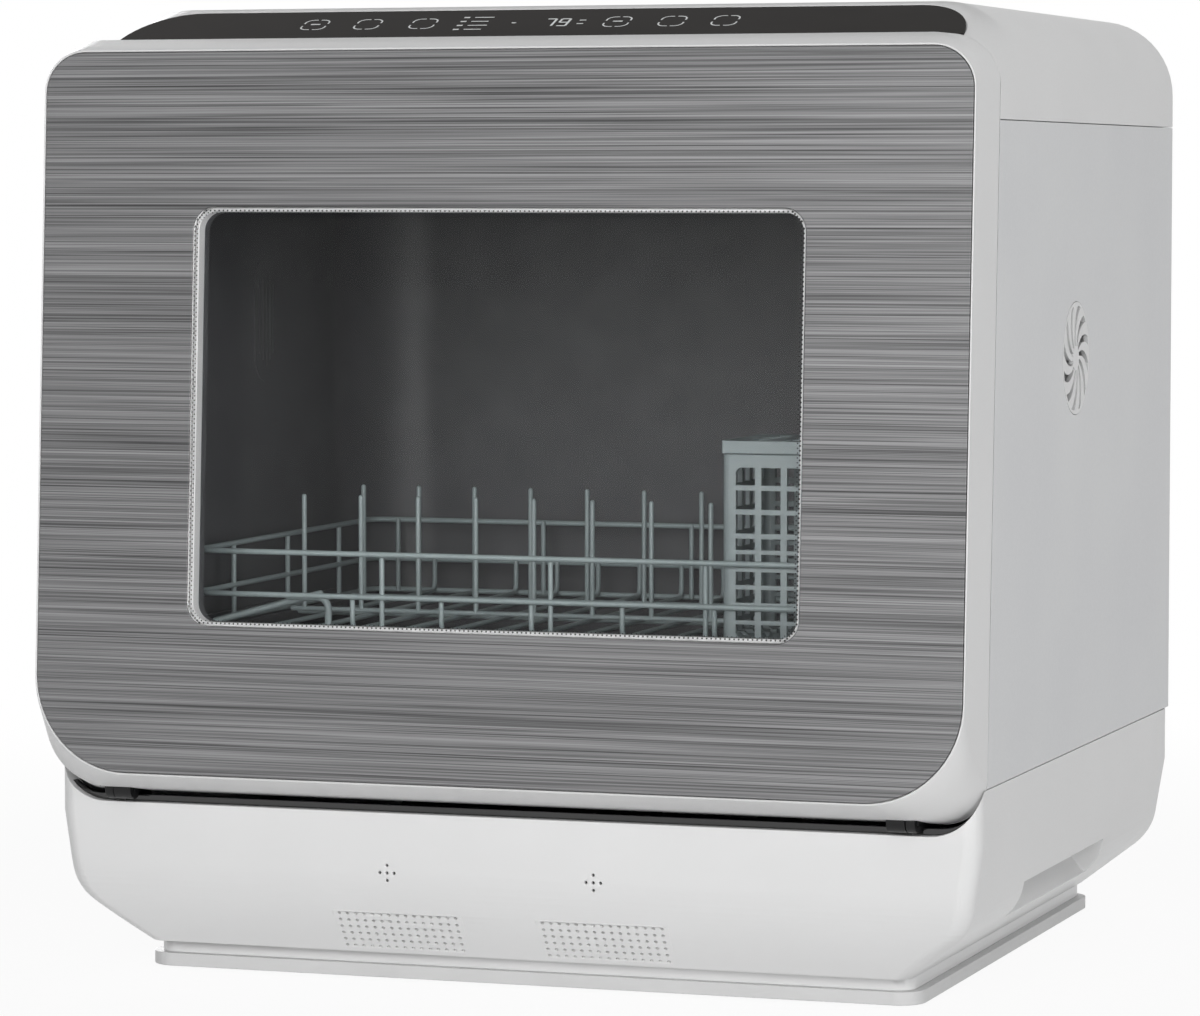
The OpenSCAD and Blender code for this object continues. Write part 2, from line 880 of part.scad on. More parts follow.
module door_rim() {
    bulge_n = 12;
    color(white) at_door() difference() {
        hull() {
            slab(0, 0.1) tile(face_w + 2 * rim_show, rim_front, face_high + rim_show,
                face_r_top + rim_show, face_r_low + rim_show, $fn = 64);
            slab(bulge_n, bulge_n + 0.1) tile(body_w - 0.4, door_low + 0.3 * face_foot, door_high - 1.5,
                rim_r_top, (rim_r_low + face_r_low) / 2, $fn = 64);
            slab(door_t - 0.1, door_t) tile(body_w, door_low, door_high, rim_r_top, rim_r_low, $fn = 64);
        }
        slab(-1, face_t) face_tile(0.2);
        slab(face_t + rim_wall, door_t + 1) face_tile(-rim_wall + 0.2);
        slab(0, door_t) window_tile(0);
        for (s = [0, 1]) mirror([s, 0, 0])
            translate([knuckle_x - 0.5, hinge_n - eye_r - 0.8, -20])
            cube([arm_x + arm_t / 2 + 1.6 - knuckle_x, door_t, 20 + face_low + rim_wall + 3]);
        translate([-strike_w / 2 - fit, liner_n + liner_t - fit, strike_v - fit])
            cube([strike_w + 2 * fit, door_t, strike_t + 2 * fit]);
    }
}

module door_face() {
    color(steel) at_door() slab(0, face_t) difference() {
        face_tile(0);
        window_tile(0);
    }
}

module window_frame() {
    flange_n = face_t + rim_wall;
    color(white) at_door() difference() {
        union() {
            slab(pane_set + glass_t, reveal_d) window_tile(-reveal_fit);
            slab(flange_n, flange_n + 2) window_tile(6);
        }
        slab(-1, reveal_d + 1) window_tile(-reveal_fit - reveal_wall);
    }
}

module outer_glass() {
    color(clear) at_door() slab(pane_set, pane_set + glass_t) window_tile(-pane_fit);
}

module inner_glass() {
    color(clear) at_door() slab(liner_n - glass_t, liner_n) window_tile(flare + pane_rest - pane_fit);
}

module door_liner() {
    neck_wall = 2.4;
    color(dark) at_door() difference() {
        union() {
            slab(liner_n, liner_n + liner_t) face_tile(-rim_wall);
            slab(reveal_d, liner_n + 0.1) window_tile(flare + pane_rest + neck_wall);
        }
        slab(0, lip_d + 0.1) window_tile(-reveal_fit - reveal_wall);
        slab(lip_d, door_t) window_tile(flare);
        slab(liner_n - glass_t - 0.1, liner_n) window_tile(flare + pane_rest);
    }
}

// Tub fittings ---------------------------------------------------------------

pipe_r = 9;
arm_z = tub_floor + 12;

module spray_hub() {
    color(dark) translate([0, spray_y, 0]) {
        translate([0, 0, tub_floor]) cylinder(h = 4, r = 15);
        translate([0, 0, volute_top]) cylinder(h = arm_z - volute_top, r = pipe_r);
        translate([0, 0, arm_z]) cylinder(h = 16, r = 6);
    }
}

module spray_nut() {
    color(dark) translate([0, spray_y, arm_z + 10.3]) difference() {
        cylinder(h = 5.4, r = 11);
        translate([0, 0, -1]) cylinder(h = 10, r = 6);
    }
}

module spray_arm() {
    tip_r = 10;
    root_r = 16;
    tip_x = spray_l / 2 - tip_r;
    color(dark) translate([0, spray_y, arm_z + 0.3]) difference() {
        union() {
            cylinder(h = 9.7, r = 18);
            linear_extrude(6.5) {
                polygon([[-tip_x, -tip_r], [0, -root_r], [tip_x, -tip_r],
                    [tip_x, tip_r], [0, root_r], [-tip_x, tip_r]]);
                for (s = [-1, 1]) translate([s * tip_x, 0]) circle(tip_r);
            }
        }
        translate([0, 0, -1]) cylinder(h = 20, r = 6 + pin_play);
        for (s = [-1, 1], i = [0:3]) translate([s * (34 + 22 * i), s * (i % 2 == 0 ? 3 : -3), 3.5])
            cylinder(h = 10, d = 2.6);
    }
}

module sump() {
    top = tub_floor - tub_wall;
    color(dark) translate([sump_x, spray_y, 0]) difference() {
        union() {
            translate([0, 0, top - sump_h]) cylinder(h = sump_h, r = sump_r + 2);
            translate([0, 0, top - 2]) cylinder(h = 2, r = sump_r + 10);
        }
        translate([0, 0, top - sump_h + 2]) cylinder(h = sump_h, r = sump_r - 5);
        translate([0, 0, top - 0.2]) cylinder(h = 5, r = sump_r);
    }
}

module filter() {
    cup_r = 22;
    top = tub_floor - tub_wall;
    color("gray") translate([sump_x, spray_y, 0]) difference() {
        union() {
            translate([0, 0, top]) cylinder(h = tub_wall, r = sump_r - 0.4);
            translate([0, 0, top - 20]) cylinder(h = 20, r = cup_r);
            translate([-3, -cup_r, tub_floor]) cube([6, 2 * cup_r, 5]);
        }
        for (s = [-1, 1]) intersection() {
            translate([0, 0, top - 18]) cylinder(h = 40, r = cup_r - 2);
            translate([s * 23, 0, 0]) cube([40, 60, 400], center = true);
        }
        for (i = [0:17]) rotate(i * 20) translate([28, 0, top - 1]) cylinder(h = 5, d = 4, $fn = 16);
    }
}

// The oval air inlet on the tub's left wall
air_y = y0 + 182;
air_head = 99;
air_z = tub_top - air_head;
air_w = 26;
air_h = 58;
air_t = 2;
air_step = 4.2;
air_slot = 2.2;

module air_grille() {
    slots = 2;
    color(dark) difference() {
        side_slab(-tub_w / 2, -tub_w / 2 + air_t) translate([air_y, air_z])
            tile(air_w, -air_h / 2, air_h / 2, air_w / 2 - 0.1, air_w / 2 - 0.1);
        side_slab(-tub_w / 2 - 1, -tub_w / 2 + air_t + 1) translate([air_y, air_z])
            for (i = [-slots:slots]) {
                reach = air_h / 2 - 7 - abs(i) * 3;
                translate([i * air_step, 0]) tile(air_slot, -reach, reach, 1.05, 1.05);
            }
    }
}

runner_w = 16;
runner_z = rack_z - rail_d / 2 - fit;
// Play between a runner and the tub's wall, which curves in at the runner's foot and back end
runner_play = 0.6;
runner_l = tub_back - tub_r + 4 - rack_y + 3.5;

module runner(side) {
    color(dark) mirror([side < 0 ? 1 : 0, 0, 0])
        translate([tub_w / 2 - runner_w, rack_y - 3.5, runner_z - 3.5]) {
            cube([runner_w - runner_play, runner_l, 3.5]);
            translate([runner_w - 3, 0, 0]) cube([3 - runner_play, runner_l, 7]);
        }
}

module runner_left() {
    runner(-1);
}

module runner_right() {
    runner(1);
}

// Rack -----------------------------------------------------------------------

rack_r = 9;

module wire_ring(z, d) {
    translate([0, 0, z]) {
        for (s = [-1, 1]) {
            rod([s * rack_x, rack_y + rack_r, 0], [s * rack_x, rack_back - rack_r, 0], d);
            rod([-rack_x + rack_r, (s < 0) ? rack_y : rack_back, 0],
                [rack_x - rack_r, (s < 0) ? rack_y : rack_back, 0], d);
        }
        for (c = [[1, 1, 0], [-1, 1, 90], [-1, -1, 180], [1, -1, 270]])
            translate([c[0] * (rack_x - rack_r), c[1] < 0 ? rack_y + rack_r : rack_back - rack_r, 0])
            rotate(c[2]) rotate_extrude(angle = 90, $fn = 48) translate([rack_r, 0]) circle(d / 2, $fn = 24);
    }
}

module rack_frame() {
    color(wire) {
        wire_ring(rack_z, rail_d);
        wire_ring(rail_low, rail_d);
        wire_ring(rail_high, rail_d);
        for (i = [-2:2], y = [rack_y, rack_back])
            rod([i * post_step, y, rack_z], [i * post_step, y, rail_high], wire_d);
        for (s = [-1, 1], y = [rack_y + 45, rack_y + rack_d / 2, rack_back - 45])
            rod([s * rack_x, y, rack_z], [s * rack_x, y, rail_high], wire_d);
    }
}

module rack_grid() {
    color(wire) {
        for (i = [-5:5]) rod([i * grid_step, rack_y + rail_d / 2, rack_z],
            [i * grid_step, rack_back - rail_d / 2, rack_z], wire_d);
        cross_x = tub_w / 2 - runner_w - 1;
        for (y = [rack_y + 30, rack_y + rack_d / 2, rack_back - 30])
            rod([-cross_x, y, rack_z - wire_d + 0.2], [cross_x, y, rack_z - wire_d + 0.2], wire_d);
    }
}

module tine_row(from, count, step, y) {
    base_z = rack_z + wire_d;
    rod([from - 6, y, base_z], [from + (count - 1) * step + 6, y, base_z], wire_d);
    for (i = [0:count - 1]) {
        rod([from + i * step, y, base_z], [from + i * step, y, tine_z], wire_d);
        translate([from + i * step, y, tine_z]) sphere(d = wire_d, $fn = 24);
    }
}

module rack_tines() {
    color(wire) {
        first = -rack_x + tine_side;
        front_n = floor((basket_x - 22 - first) / tine_step) + 1;
        rear_n = floor((rack_x - tine_side - first) / tine_step) + 1;
        tine_row(first, front_n, tine_step, rack_y + tine_front);
        tine_row(first, rear_n, tine_step, rack_back - tine_rear);
    }
}

// Cutlery basket -------------------------------------------------------------

lid_low = basket_top - lid_t;

module basket_window(w, bar_step, bars) {
    sill = 153 - basket_z;
    head = lid_low - basket_z - 6;
    difference() {
        tile(w - 2 * basket_frame, sill, head, 3, 3);
        for (i = [0:bars - 1]) translate([(i - (bars - 1) / 2) * bar_step - 1.5, 0]) square([3, 200]);
        for (i = [1:3]) translate([-w / 2, head - 10.4 * i + 0.5]) square([w, 2.3]);
        for (i = [0:4]) translate([-w / 2, head - 37.4 - 7.6 * i]) square([w, 1.9]);
    }
}

module cutlery_basket() {
    mid = basket_x + basket_w / 2;
    back = basket_y + basket_d;
    color("slategray") {
        difference() {
            round_box(basket_x, basket_x + basket_w, basket_y, back, basket_z, lid_low - fit, 4);
            round_box(basket_x + basket_wall, basket_x + basket_w - basket_wall, basket_y + basket_wall,
                back - basket_wall, basket_z + 2.4, basket_top, 2.4);
            translate([mid, 0, basket_z]) slab(basket_y - 1, back + 1) basket_window(basket_w, 11.5, 5);
            translate([0, basket_y + basket_d / 2, basket_z])
                side_slab(basket_x - 1, basket_x + basket_w + 1) basket_window(basket_d, 11.5, 4);
        }
        for (x = [basket_x, basket_x + basket_w - basket_wall]) {
            translate([x, back - lid_t, lid_low - fit]) cube([basket_wall, lid_t, lid_t / 2 + fit]);
            translate([0, back - lid_t / 2, basket_top - lid_t / 2]) x_rod(x, x + basket_wall, lid_t / 2);
        }
        for (x = [basket_x + 1, basket_x + basket_w - 7])
            translate([0, back - lid_t / 2, basket_top - lid_t / 2]) x_rod(x, x + 6, 1);
    }
}

module cutlery_lid() {
    back = basket_y + basket_d;
    w = basket_w;
    color("slategray") difference() {
        union() {
            round_box(basket_x, basket_x + w, basket_y, back - lid_t / 2, lid_low, basket_top, 0.8);
            translate([0, back - lid_t / 2, basket_top - lid_t / 2])
                x_rod(basket_x + basket_wall + fit, basket_x + w - basket_wall - fit, lid_t / 2);
        }
        for (x = [basket_x - 1, basket_x + w - basket_wall - fit])
            translate([x, back - lid_t - fit, lid_low - 1]) cube([basket_wall + fit + 1, 20, 20]);
        translate([0, back - lid_t / 2, basket_top - lid_t / 2]) x_rod(basket_x, basket_x + w, 1 + pin_play);
        for (i = [0:4], j = [0:2]) translate([basket_x + 9 + 15.2 * i, basket_y + 7 + 16 * j, lid_low - 1])
            linear_extrude(lid_t + 2) union() {
                translate([2, 0]) square([6, 12]);
                translate([5, 6]) circle(4.6);
            }
    }
}

// Hidden works ---------------------------------------------------------------

pump_z = 42;
motor_r = 25;
motor_l = 86;
volute_r = 30;
volute_l = 28;
volute_top = pump_z + volute_r;
foot_l = 12;

module wash_pump() {
    color("dimgray") translate([0, spray_y, pump_z]) {
        x_rod(-volute_l / 2 - motor_l, -volute_l / 2, motor_r);
        x_rod(-volute_l / 2, volute_l / 2, volute_r);
    }
    color("dimgray") for (x = [-volute_l / 2 - motor_l + 10, -volute_l / 2 - 20])
        translate([x, spray_y - 18, deck_z]) cube([foot_l, 36, pump_z - deck_z - 10]);
}

feed_r = 10;

module feed_pipe() {
    color(dark) {
        translate([0, spray_y, pump_z]) x_rod(volute_l / 2, sump_x, feed_r);
        translate([sump_x, spray_y, pump_z]) sphere(r = feed_r);
        translate([sump_x, spray_y, pump_z])
            cylinder(h = tub_floor - tub_wall - sump_h - pump_z, r = feed_r);
    }
}

drain_side = 80;
drain_r = 18;
drain_l = 70;
drain_axis = 24;

module drain_pump() {
    x = half_w - drain_side;
    color("dimgray") {
        translate([x, spray_y + 40, deck_z + drain_axis]) rotate([-90, 0, 0])
            cylinder(h = drain_l, r = drain_r);
        translate([x, spray_y + 30, deck_z + drain_axis]) rotate([-90, 0, 0])
            cylinder(h = 12, r = drain_r + 5);
        translate([x - foot_l, spray_y + 60, deck_z]) cube([2 * foot_l, 30, drain_axis - drain_r + 4]);
    }
}

shelf_t = 2.6;

module tank_shelf() {
    color(steel) translate([-half_w + panel_t + 0.2, tub_back + tub_wall + 1, base_h + 0.2])
        cube([body_w - 2 * panel_t - 0.4, y1 - panel_t - 0.2 - tub_back - tub_wall - 1, shelf_t]);
}

tank_z = base_h + 0.2 + shelf_t;
tank_head = 56;
tank_top = body_h - tank_head;
tank_side = 45;

module water_tank() {
    x0 = -half_w + tank_side;
    x1 = port_x - port_w / 2 - 19;
    front = tub_back + tub_wall + 2;
    back = y1 - panel_t - 2;
    color([0.8, 0.84, 0.88]) difference() {
        round_box(x0, x1, front, back, tank_z, tank_top, 10);
        round_box(x0 + wall, x1 - wall, front + wall, back - wall, tank_z + wall, tank_top - wall, 8);
        translate([fill_x, fill_y, tank_top - 10]) cylinder(h = 20, r = fill_neck);
    }
}

lid_axis_y = fill_y + fill_r + 1.5;
lid_axis_z = body_h - 2.2;
knuckle_r = 2.1;
ear_x = 11;

// The filler's seat, ears and spout, under the lid
module fill_funnel() {
    seat_z = body_h - wall;
    color(white) {
        difference() {
            union() {
                translate([fill_x, fill_y, tank_top]) cylinder(h = seat_z - tank_top - 1, r = fill_neck + 2);
                round_box(fill_x - fill_r - 6, fill_x + fill_r + 6, fill_y - fill_r - 6, fill_y + fill_r + 8,
                    seat_z - 6, seat_z - 0.2, 6);
            }
            translate([fill_x, fill_y, tank_top - 1]) cylinder(h = 100, r = fill_neck);
            translate([fill_x - 13, lid_axis_y - 3.2, seat_z - 3.4]) cube([26, 6.4, 10]);
        }
        for (s = [-1, 1]) translate([fill_x + s * (ear_x + 1) - 1, lid_axis_y - 2, seat_z - 3.4])
            cube([2, 4, 5.2]);
        translate([fill_x, lid_axis_y, lid_axis_z]) x_rod(-ear_x - 1, ear_x + 1, 1);
    }
}

module fill_lid() {
    low = body_h - 2;
    color(white) difference() {
        union() {
            translate([fill_x, fill_y, low]) cylinder(h = 2, r = fill_r);
            translate([fill_x - ear_x + 0.4, fill_y + fill_r - 6, low]) cube([2 * ear_x - 0.8, 7.5, 2]);
            translate([fill_x, lid_axis_y, lid_axis_z]) x_rod(-ear_x + 0.4, ear_x - 0.4, knuckle_r);
        }
        translate([fill_x, lid_axis_y, lid_axis_z]) x_rod(-ear_x - 1, ear_x + 1, 1 + pin_play);
    }
}

fan_x = tub_w / 2 + tub_wall + 0.2;
fan_motor_l = 12;

module fan_housing() {
    w = half_w - panel_t - 0.2 - fan_x;
    color(dark) translate([fan_x, fan_y, vent_z]) {
        difference() {
            x_rod(0, w, fan_r + 6);
            x_rod(3, w + 1, fan_r + 2);
            for (i = [0:5]) rotate([i * 60, 0, 0]) translate([-1, 12.5, -4]) cube([6, 9, 8]);
        }
        x_rod(0, 3 + fan_motor_l, 11);
        x_rod(0, w - 4, 2);
    }
}

module fan_impeller() {
    x = fan_x + 3 + fan_motor_l + 0.5;
    l = 9;
    color("gray") translate([x, fan_y, vent_z]) difference() {
        union() {
            x_rod(0, l, 9);
            for (i = [0:6]) rotate([i * 360 / 7, 0, 0]) translate([l / 2, 7, 0]) rotate([0, 35, 0])
                translate([-4.6, 0, -0.6]) cube([9.2, fan_r - 8, 1.2]);
        }
        x_rod(-1, l + 1, 2 + pin_play);
    }
}

module inlet_port() {
    color("whitesmoke") translate([inlet_x, y1, port_z]) rotate([90, 0, 0]) difference() {
        union() {
            translate([0, 0, port_in]) cylinder(h = port_d - panel_t - 0.2 - port_in, r = 13.2);
            translate([0, 0, port_d - panel_t - 1]) cylinder(h = 14, r = 9.8);
        }
        translate([0, 0, -1]) cylinder(h = 60, r = 7.5);
    }
}

module drain_port() {
    color(black) translate([drain_x, y1, port_z]) rotate([90, 0, 0]) difference() {
        union() {
            translate([0, 0, port_in]) cylinder(h = port_d + 8, r = 9.5);
            translate([0, 0, port_d - panel_t - 5]) cylinder(h = 4.8, r = 12);
        }
        translate([0, 0, -1]) cylinder(h = 60, r = 7);
    }
}

module power_inlet() {
    color(black) translate([power_x, 0, power_z]) difference() {
        slab(y1 - power_d, y1 - 0.3) tile(power_w, -power_h / 2, power_h / 2, 4, 4);
        slab(y1 - socket_d, y1 + 1) tile(socket_w, -socket_h / 2, socket_h / 2, 3, 3);
    }
}

top_cover();
side_panel_left();
side_panel_right();
side_vent();
rear_panel();
base_shell();
plinth();
grille_left();
grille_right();
foot_front_left();
foot_front_right();
foot_rear_left();
foot_rear_right();
front_frame();
tub();
tub_flange();
tub_seal();
gap_trim();
control_glass();
control_board();
lock_bracket();
hinge_arm_left();
hinge_arm_right();
hinge_pin_left();
hinge_pin_right();
sump();
wash_pump();
drain_pump();
feed_pipe();
water_tank();
tank_shelf();
fill_funnel();
fan_housing();
air_grille();
runner_left();
runner_right();
rack_frame();
rack_grid();
rack_tines();
inlet_port();
drain_port();
power_inlet();
spray_hub();
spray_nut();
door_rim();
door_face();
window_frame();
outer_glass();
inner_glass();
door_liner();
hinge_bracket_left();
hinge_bracket_right();
door_strike();
lock_hook();
spray_arm();
filter();
fan_impeller();
fill_lid();
cutlery_basket();
cutlery_lid();
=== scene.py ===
# %% [markdown]
# # A countertop dishwasher, dressed for its portrait
# The CAD model gives this machine its sizes, its joints and its plain solids. This notebook gives it the
# finishes and the small forms that make it look like a real one: moulded white plastic, powder coated
# sheet, a brushed front, a printed window and a wire rack behind it. The first cell loads the CAD model
# as a frame that nothing here may move.

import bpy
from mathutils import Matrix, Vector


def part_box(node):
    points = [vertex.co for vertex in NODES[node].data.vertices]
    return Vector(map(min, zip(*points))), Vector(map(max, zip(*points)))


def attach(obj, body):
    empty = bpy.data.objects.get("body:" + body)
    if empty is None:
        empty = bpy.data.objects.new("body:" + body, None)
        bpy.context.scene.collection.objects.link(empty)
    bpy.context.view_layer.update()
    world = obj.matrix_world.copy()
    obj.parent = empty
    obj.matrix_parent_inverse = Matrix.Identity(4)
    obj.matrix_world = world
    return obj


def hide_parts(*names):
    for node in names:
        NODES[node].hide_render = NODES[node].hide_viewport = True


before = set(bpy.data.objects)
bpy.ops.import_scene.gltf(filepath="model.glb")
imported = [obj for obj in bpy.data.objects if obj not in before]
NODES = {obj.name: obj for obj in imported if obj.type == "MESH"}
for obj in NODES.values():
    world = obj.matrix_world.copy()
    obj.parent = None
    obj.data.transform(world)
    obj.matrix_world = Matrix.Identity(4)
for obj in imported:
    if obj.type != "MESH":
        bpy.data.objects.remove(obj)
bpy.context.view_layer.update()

# %% [markdown]
# Blender measures in metres, while a machine of this kind is drawn in millimetres. So every length below is
# written in millimetres, and one small function turns a point into metres.

# %% Libraries and lengths
from math import cos, pi, radians, sin

import bmesh
import bpy
from mathutils import Matrix, Vector

MM = 0.001
scene = bpy.context.scene
print("nodes in the frame:", len(NODES))


def mm(x, y, z):
    """A point given in millimetres, in the metres that Blender uses."""
    return Vector((x, y, z)) * MM

# %% [markdown]
# Two flat places on the machine are tilted, and much of the detail sits on them. The door leans back by a
# few degrees, and the touch strip climbs from the door to the top. Each gets a matrix that carries a flat
# drawing to its place, so that the drawings stay simple.

# %% The two tilted places
LEAN = radians(3.2)
DOOR_FOOT = mm(0, -194.62, 81)
on_door = Matrix.Translation(DOOR_FOOT) @ Matrix.Rotation(-LEAN, 4, "X") @ Matrix.Rotation(pi / 2, 4, "X")
# On the door a drawing has x across, y up along the face, and z out of the face towards the room.

SLOPE = radians(21.04)
SLOPE_FOOT = mm(0, -137.31, 411)
on_slope = Matrix.Translation(SLOPE_FOOT) @ Matrix.Rotation(SLOPE, 4, "X")
# On the slope a drawing has x across, y up the slope, and z out of it.
print("a point 300 mm up the door:", [round(v, 4) for v in on_door @ mm(0, 300, 0)])

# %% [markdown]
# ## Camera, floor and light
# A long lens, far off at the right, keeps the upright edges nearly parallel. The lamps are wide
# and soft, as in a product studio, and bright enough that a colour shows about as it is written. The floor
# and the room look white to the lens, to gloss and through glass, while they give the object much less
# light, so that pale plastic keeps its shading.

# %% Camera
lens = bpy.data.cameras.new("camera")
lens.lens = 149.15
lens.sensor_width = 36
lens.clip_end = 50
camera = bpy.data.objects.new("camera", lens)
camera.location = mm(725.0, -2158.6, 349.0)
camera.rotation_euler = (radians(86.25), 0, radians(18.9))
scene.collection.objects.link(camera)
scene.camera = camera
print("lens to object in m:", round(camera.location.length, 3))

# %% [markdown]
# Every material below is a small graph of shader nodes. One function adds a node together with its
# settings and its links, and another turns a colour written as a web hex value into the linear numbers
# that a renderer works with.

# %% Two helpers for all materials
def add(tree, kind, inputs=(), **settings):
    """Adds a node. Settings are its own properties; inputs maps a socket to a value or to another socket."""
    node = tree.nodes.new(kind)
    for name, value in settings.items():
        setattr(node, name, value)
    for key, value in dict(inputs).items():
        if isinstance(value, bpy.types.Node):
            value = value.outputs[0]
        if isinstance(value, bpy.types.NodeSocket):
            tree.links.new(value, node.inputs[key])
        else:
            node.inputs[key].default_value = value
    return node


def colour(hex_value):
    """An sRGB colour such as #DADADA as linear red, green, blue and full alpha."""
    parts = [int(hex_value[i:i + 2], 16) / 255 for i in (1, 3, 5)]
    return [p / 12.92 if p <= 0.04045 else ((p + 0.055) / 1.055) ** 2.4 for p in parts] + [1]


print("mid grey #808080 is", round(colour("#808080")[0], 3), "linear")

# %% [markdown]
# The room itself is a plain white world. It looks white wherever it is seen, directly or in a reflection, but
# it lights matt surfaces only weakly, so that the lamps shape the object. The front lamp is the strongest.
# The one at the right is lower and reaches into the tub through the window. A weak one above and a wide one
# behind keep the other sides from going grey.

# %% Room light and lamps
def seen_directly(tree):
    """1 for what the lens, gloss or glass sees, and 0 for light on its way to a matt surface."""
    path = add(tree, "ShaderNodeLightPath")
    both = add(tree, "ShaderNodeMath", {0: path.outputs["Is Camera Ray"], 1: path.outputs["Is Glossy Ray"]},
               operation="MAXIMUM")
    return add(tree, "ShaderNodeMath", {0: both, 1: path.outputs["Is Transmission Ray"]}, operation="MAXIMUM")


room = bpy.data.worlds.new("studio")
room.use_nodes = True
room.node_tree.nodes.clear()
dim = add(room.node_tree, "ShaderNodeBackground", {"Color": colour("#F6F7F8"), "Strength": 0.15})
white = add(room.node_tree, "ShaderNodeBackground", {"Color": (1, 1, 1, 1), "Strength": 1.0})
both = add(room.node_tree, "ShaderNodeMixShader", {0: seen_directly(room.node_tree), 1: dim, 2: white})
add(room.node_tree, "ShaderNodeOutputWorld", {"Surface": both})
scene.world = room
scene.view_settings.view_transform = "Standard"


def soft_lamp(name, place, aim, width, watts):
    """A round lamp at a place, turned to a point. Both are in metres, and so is its width."""
    lamp = bpy.data.lights.new(name, "AREA")
    lamp.shape, lamp.size, lamp.energy = "DISK", width, watts
    obj = bpy.data.objects.new(name, lamp)
    obj.location = place
    obj.rotation_euler = (Vector(aim) - Vector(place)).to_track_quat("-Z", "Y").to_euler()
    scene.collection.objects.link(obj)


soft_lamp("front_softbox", (0.45, -3.4, 0.9), (0, 0, 0.2), 2.2, 68)
soft_lamp("side_softbox", (2.85, -1.85, 0.6), (0, 0, 0.22), 1.5, 36)
soft_lamp("top_softbox", (0.2, 0.2, 3.2), (0, 0, 0.2), 1.8, 9)
soft_lamp("back_softbox", (-2.2, 2.7, 0.7), (0, 0, 0.22), 2.4, 52)
print("lamps:", len(bpy.data.lights))

# %% [markdown]
# The floor is matt white paper. Near the object it shows the object's soft shadow; further off it passes
# into pure white, so that no edge or horizon shows.

# %% Floor
HALF = 15             # half the floor's width in metres
NEAR, FAR = 0.3, 1.1  # where the paper starts to fade, and where it is pure white
NEAR_SHARE = 0.93     # share of pure white near the object
floor_mesh = bpy.data.meshes.new("floor")
floor_mesh.from_pydata([(-HALF, -HALF, 0), (HALF, -HALF, 0), (HALF, HALF, 0), (-HALF, HALF, 0)],
                       [], [(0, 1, 2, 3)])
floor = bpy.data.objects.new("floor", floor_mesh)
scene.collection.objects.link(floor)
paper = bpy.data.materials.new("white_studio_paper")
paper.use_nodes = True
tree = paper.node_tree
tree.nodes.clear()
matt = add(tree, "ShaderNodeBsdfDiffuse", {"Color": colour("#F2F2F2")})
glow = add(tree, "ShaderNodeEmission", {"Color": (1, 1, 1, 1), "Strength": 1.0})
ground = add(tree, "ShaderNodeTexCoord")
away = add(tree, "ShaderNodeVectorMath", {0: ground.outputs["Object"]}, operation="LENGTH")
fade = add(tree, "ShaderNodeMapRange", {"Value": away.outputs["Value"], "From Min": NEAR, "From Max": FAR,
                                        "To Min": NEAR_SHARE, "To Max": 1.0}, interpolation_type="SMOOTHSTEP")
share = add(tree, "ShaderNodeMath", {0: seen_directly(tree), 1: fade}, operation="MULTIPLY")
mix = add(tree, "ShaderNodeMixShader", {0: share, 1: matt, 2: glow})
add(tree, "ShaderNodeOutputMaterial", {"Surface": mix})
floor_mesh.materials.append(paper)
print("floor width in m:", 2 * HALF)

# %% [markdown]
# ## Finishes
# A finish starts from what the real part is made of and how its surface was made. Patterns are drawn in
# millimetres on the object's own coordinates, so that they keep their real size and ride with their part.

# %% Start of every finish
def new_finish(name, base, roughness, **sockets):
    """A material with one Principled shader. Returns it, its tree, its shader and its millimetres."""
    material = bpy.data.materials.new(name)
    material.use_nodes = True
    tree = material.node_tree
    tree.nodes.clear()
    shader = add(tree, "ShaderNodeBsdfPrincipled", {"Base Color": colour(base), "Roughness": roughness})
    for socket, value in sockets.items():
        shader.inputs[socket.replace("_", " ")].default_value = value
    add(tree, "ShaderNodeOutputMaterial", {"Surface": shader})
    place = add(tree, "ShaderNodeTexCoord")
    in_mm = add(tree, "ShaderNodeVectorMath", {0: place.outputs["Object"], "Scale": 1 / MM},
                operation="SCALE")
    return material, tree, shader, in_mm


USUAL = (0.3, 0.7)  # noise rarely leaves this reach


def tint(tree, shader, value, dark, light, reach=USUAL):
    """Takes the base colour from one hex value to another while a value goes through its reach."""
    amount = add(tree, "ShaderNodeMapRange", {"Value": value, "From Min": reach[0], "From Max": reach[1]})
    mixed = add(tree, "ShaderNodeMix", {"Factor": amount, 6: colour(dark), 7: colour(light)},
                data_type="RGBA")
    tree.links.new(mixed.outputs[2], shader.inputs["Base Color"])


def roughen(tree, shader, value, start, end, reach=USUAL):
    """Takes the roughness from one value to another in the same way."""
    amount = add(tree, "ShaderNodeMapRange", {"Value": value, "From Min": reach[0], "From Max": reach[1],
                                              "To Min": start, "To Max": end})
    tree.links.new(amount.outputs[0], shader.inputs["Roughness"])


def relief(tree, shader, height, depth_mm, share=0.5):
    """Raises the surface by a share of its real depth in millimetres, where the height is 1."""
    bump = add(tree, "ShaderNodeBump", {"Height": height, "Distance": depth_mm * MM, "Strength": share})
    tree.links.new(bump.outputs[0], shader.inputs["Normal"])

# %% [markdown]
# The housing is ABS, injection moulded in a polished tool and then left as it comes. Its skin is satin: its
# grain is just under a millimetre, too fine to see as anything but softness, and its tone drifts very
# slightly over some 70 mm.

# %% White housing plastic
white_abs, tree, shader, place = new_finish("moulded_white_abs", "#DCDCDC", 0.34, IOR=1.53)
wave = add(tree, "ShaderNodeTexNoise", {"Vector": place, "Scale": 1 / 70, "Detail": 1.0})
grain = add(tree, "ShaderNodeTexNoise", {"Vector": place, "Scale": 1 / 0.9, "Detail": 1.0})
tint(tree, shader, wave, "#DBDBDB", "#DEDEDE")
roughen(tree, shader, grain, 0.30, 0.40)
relief(tree, shader, grain, 0.012)

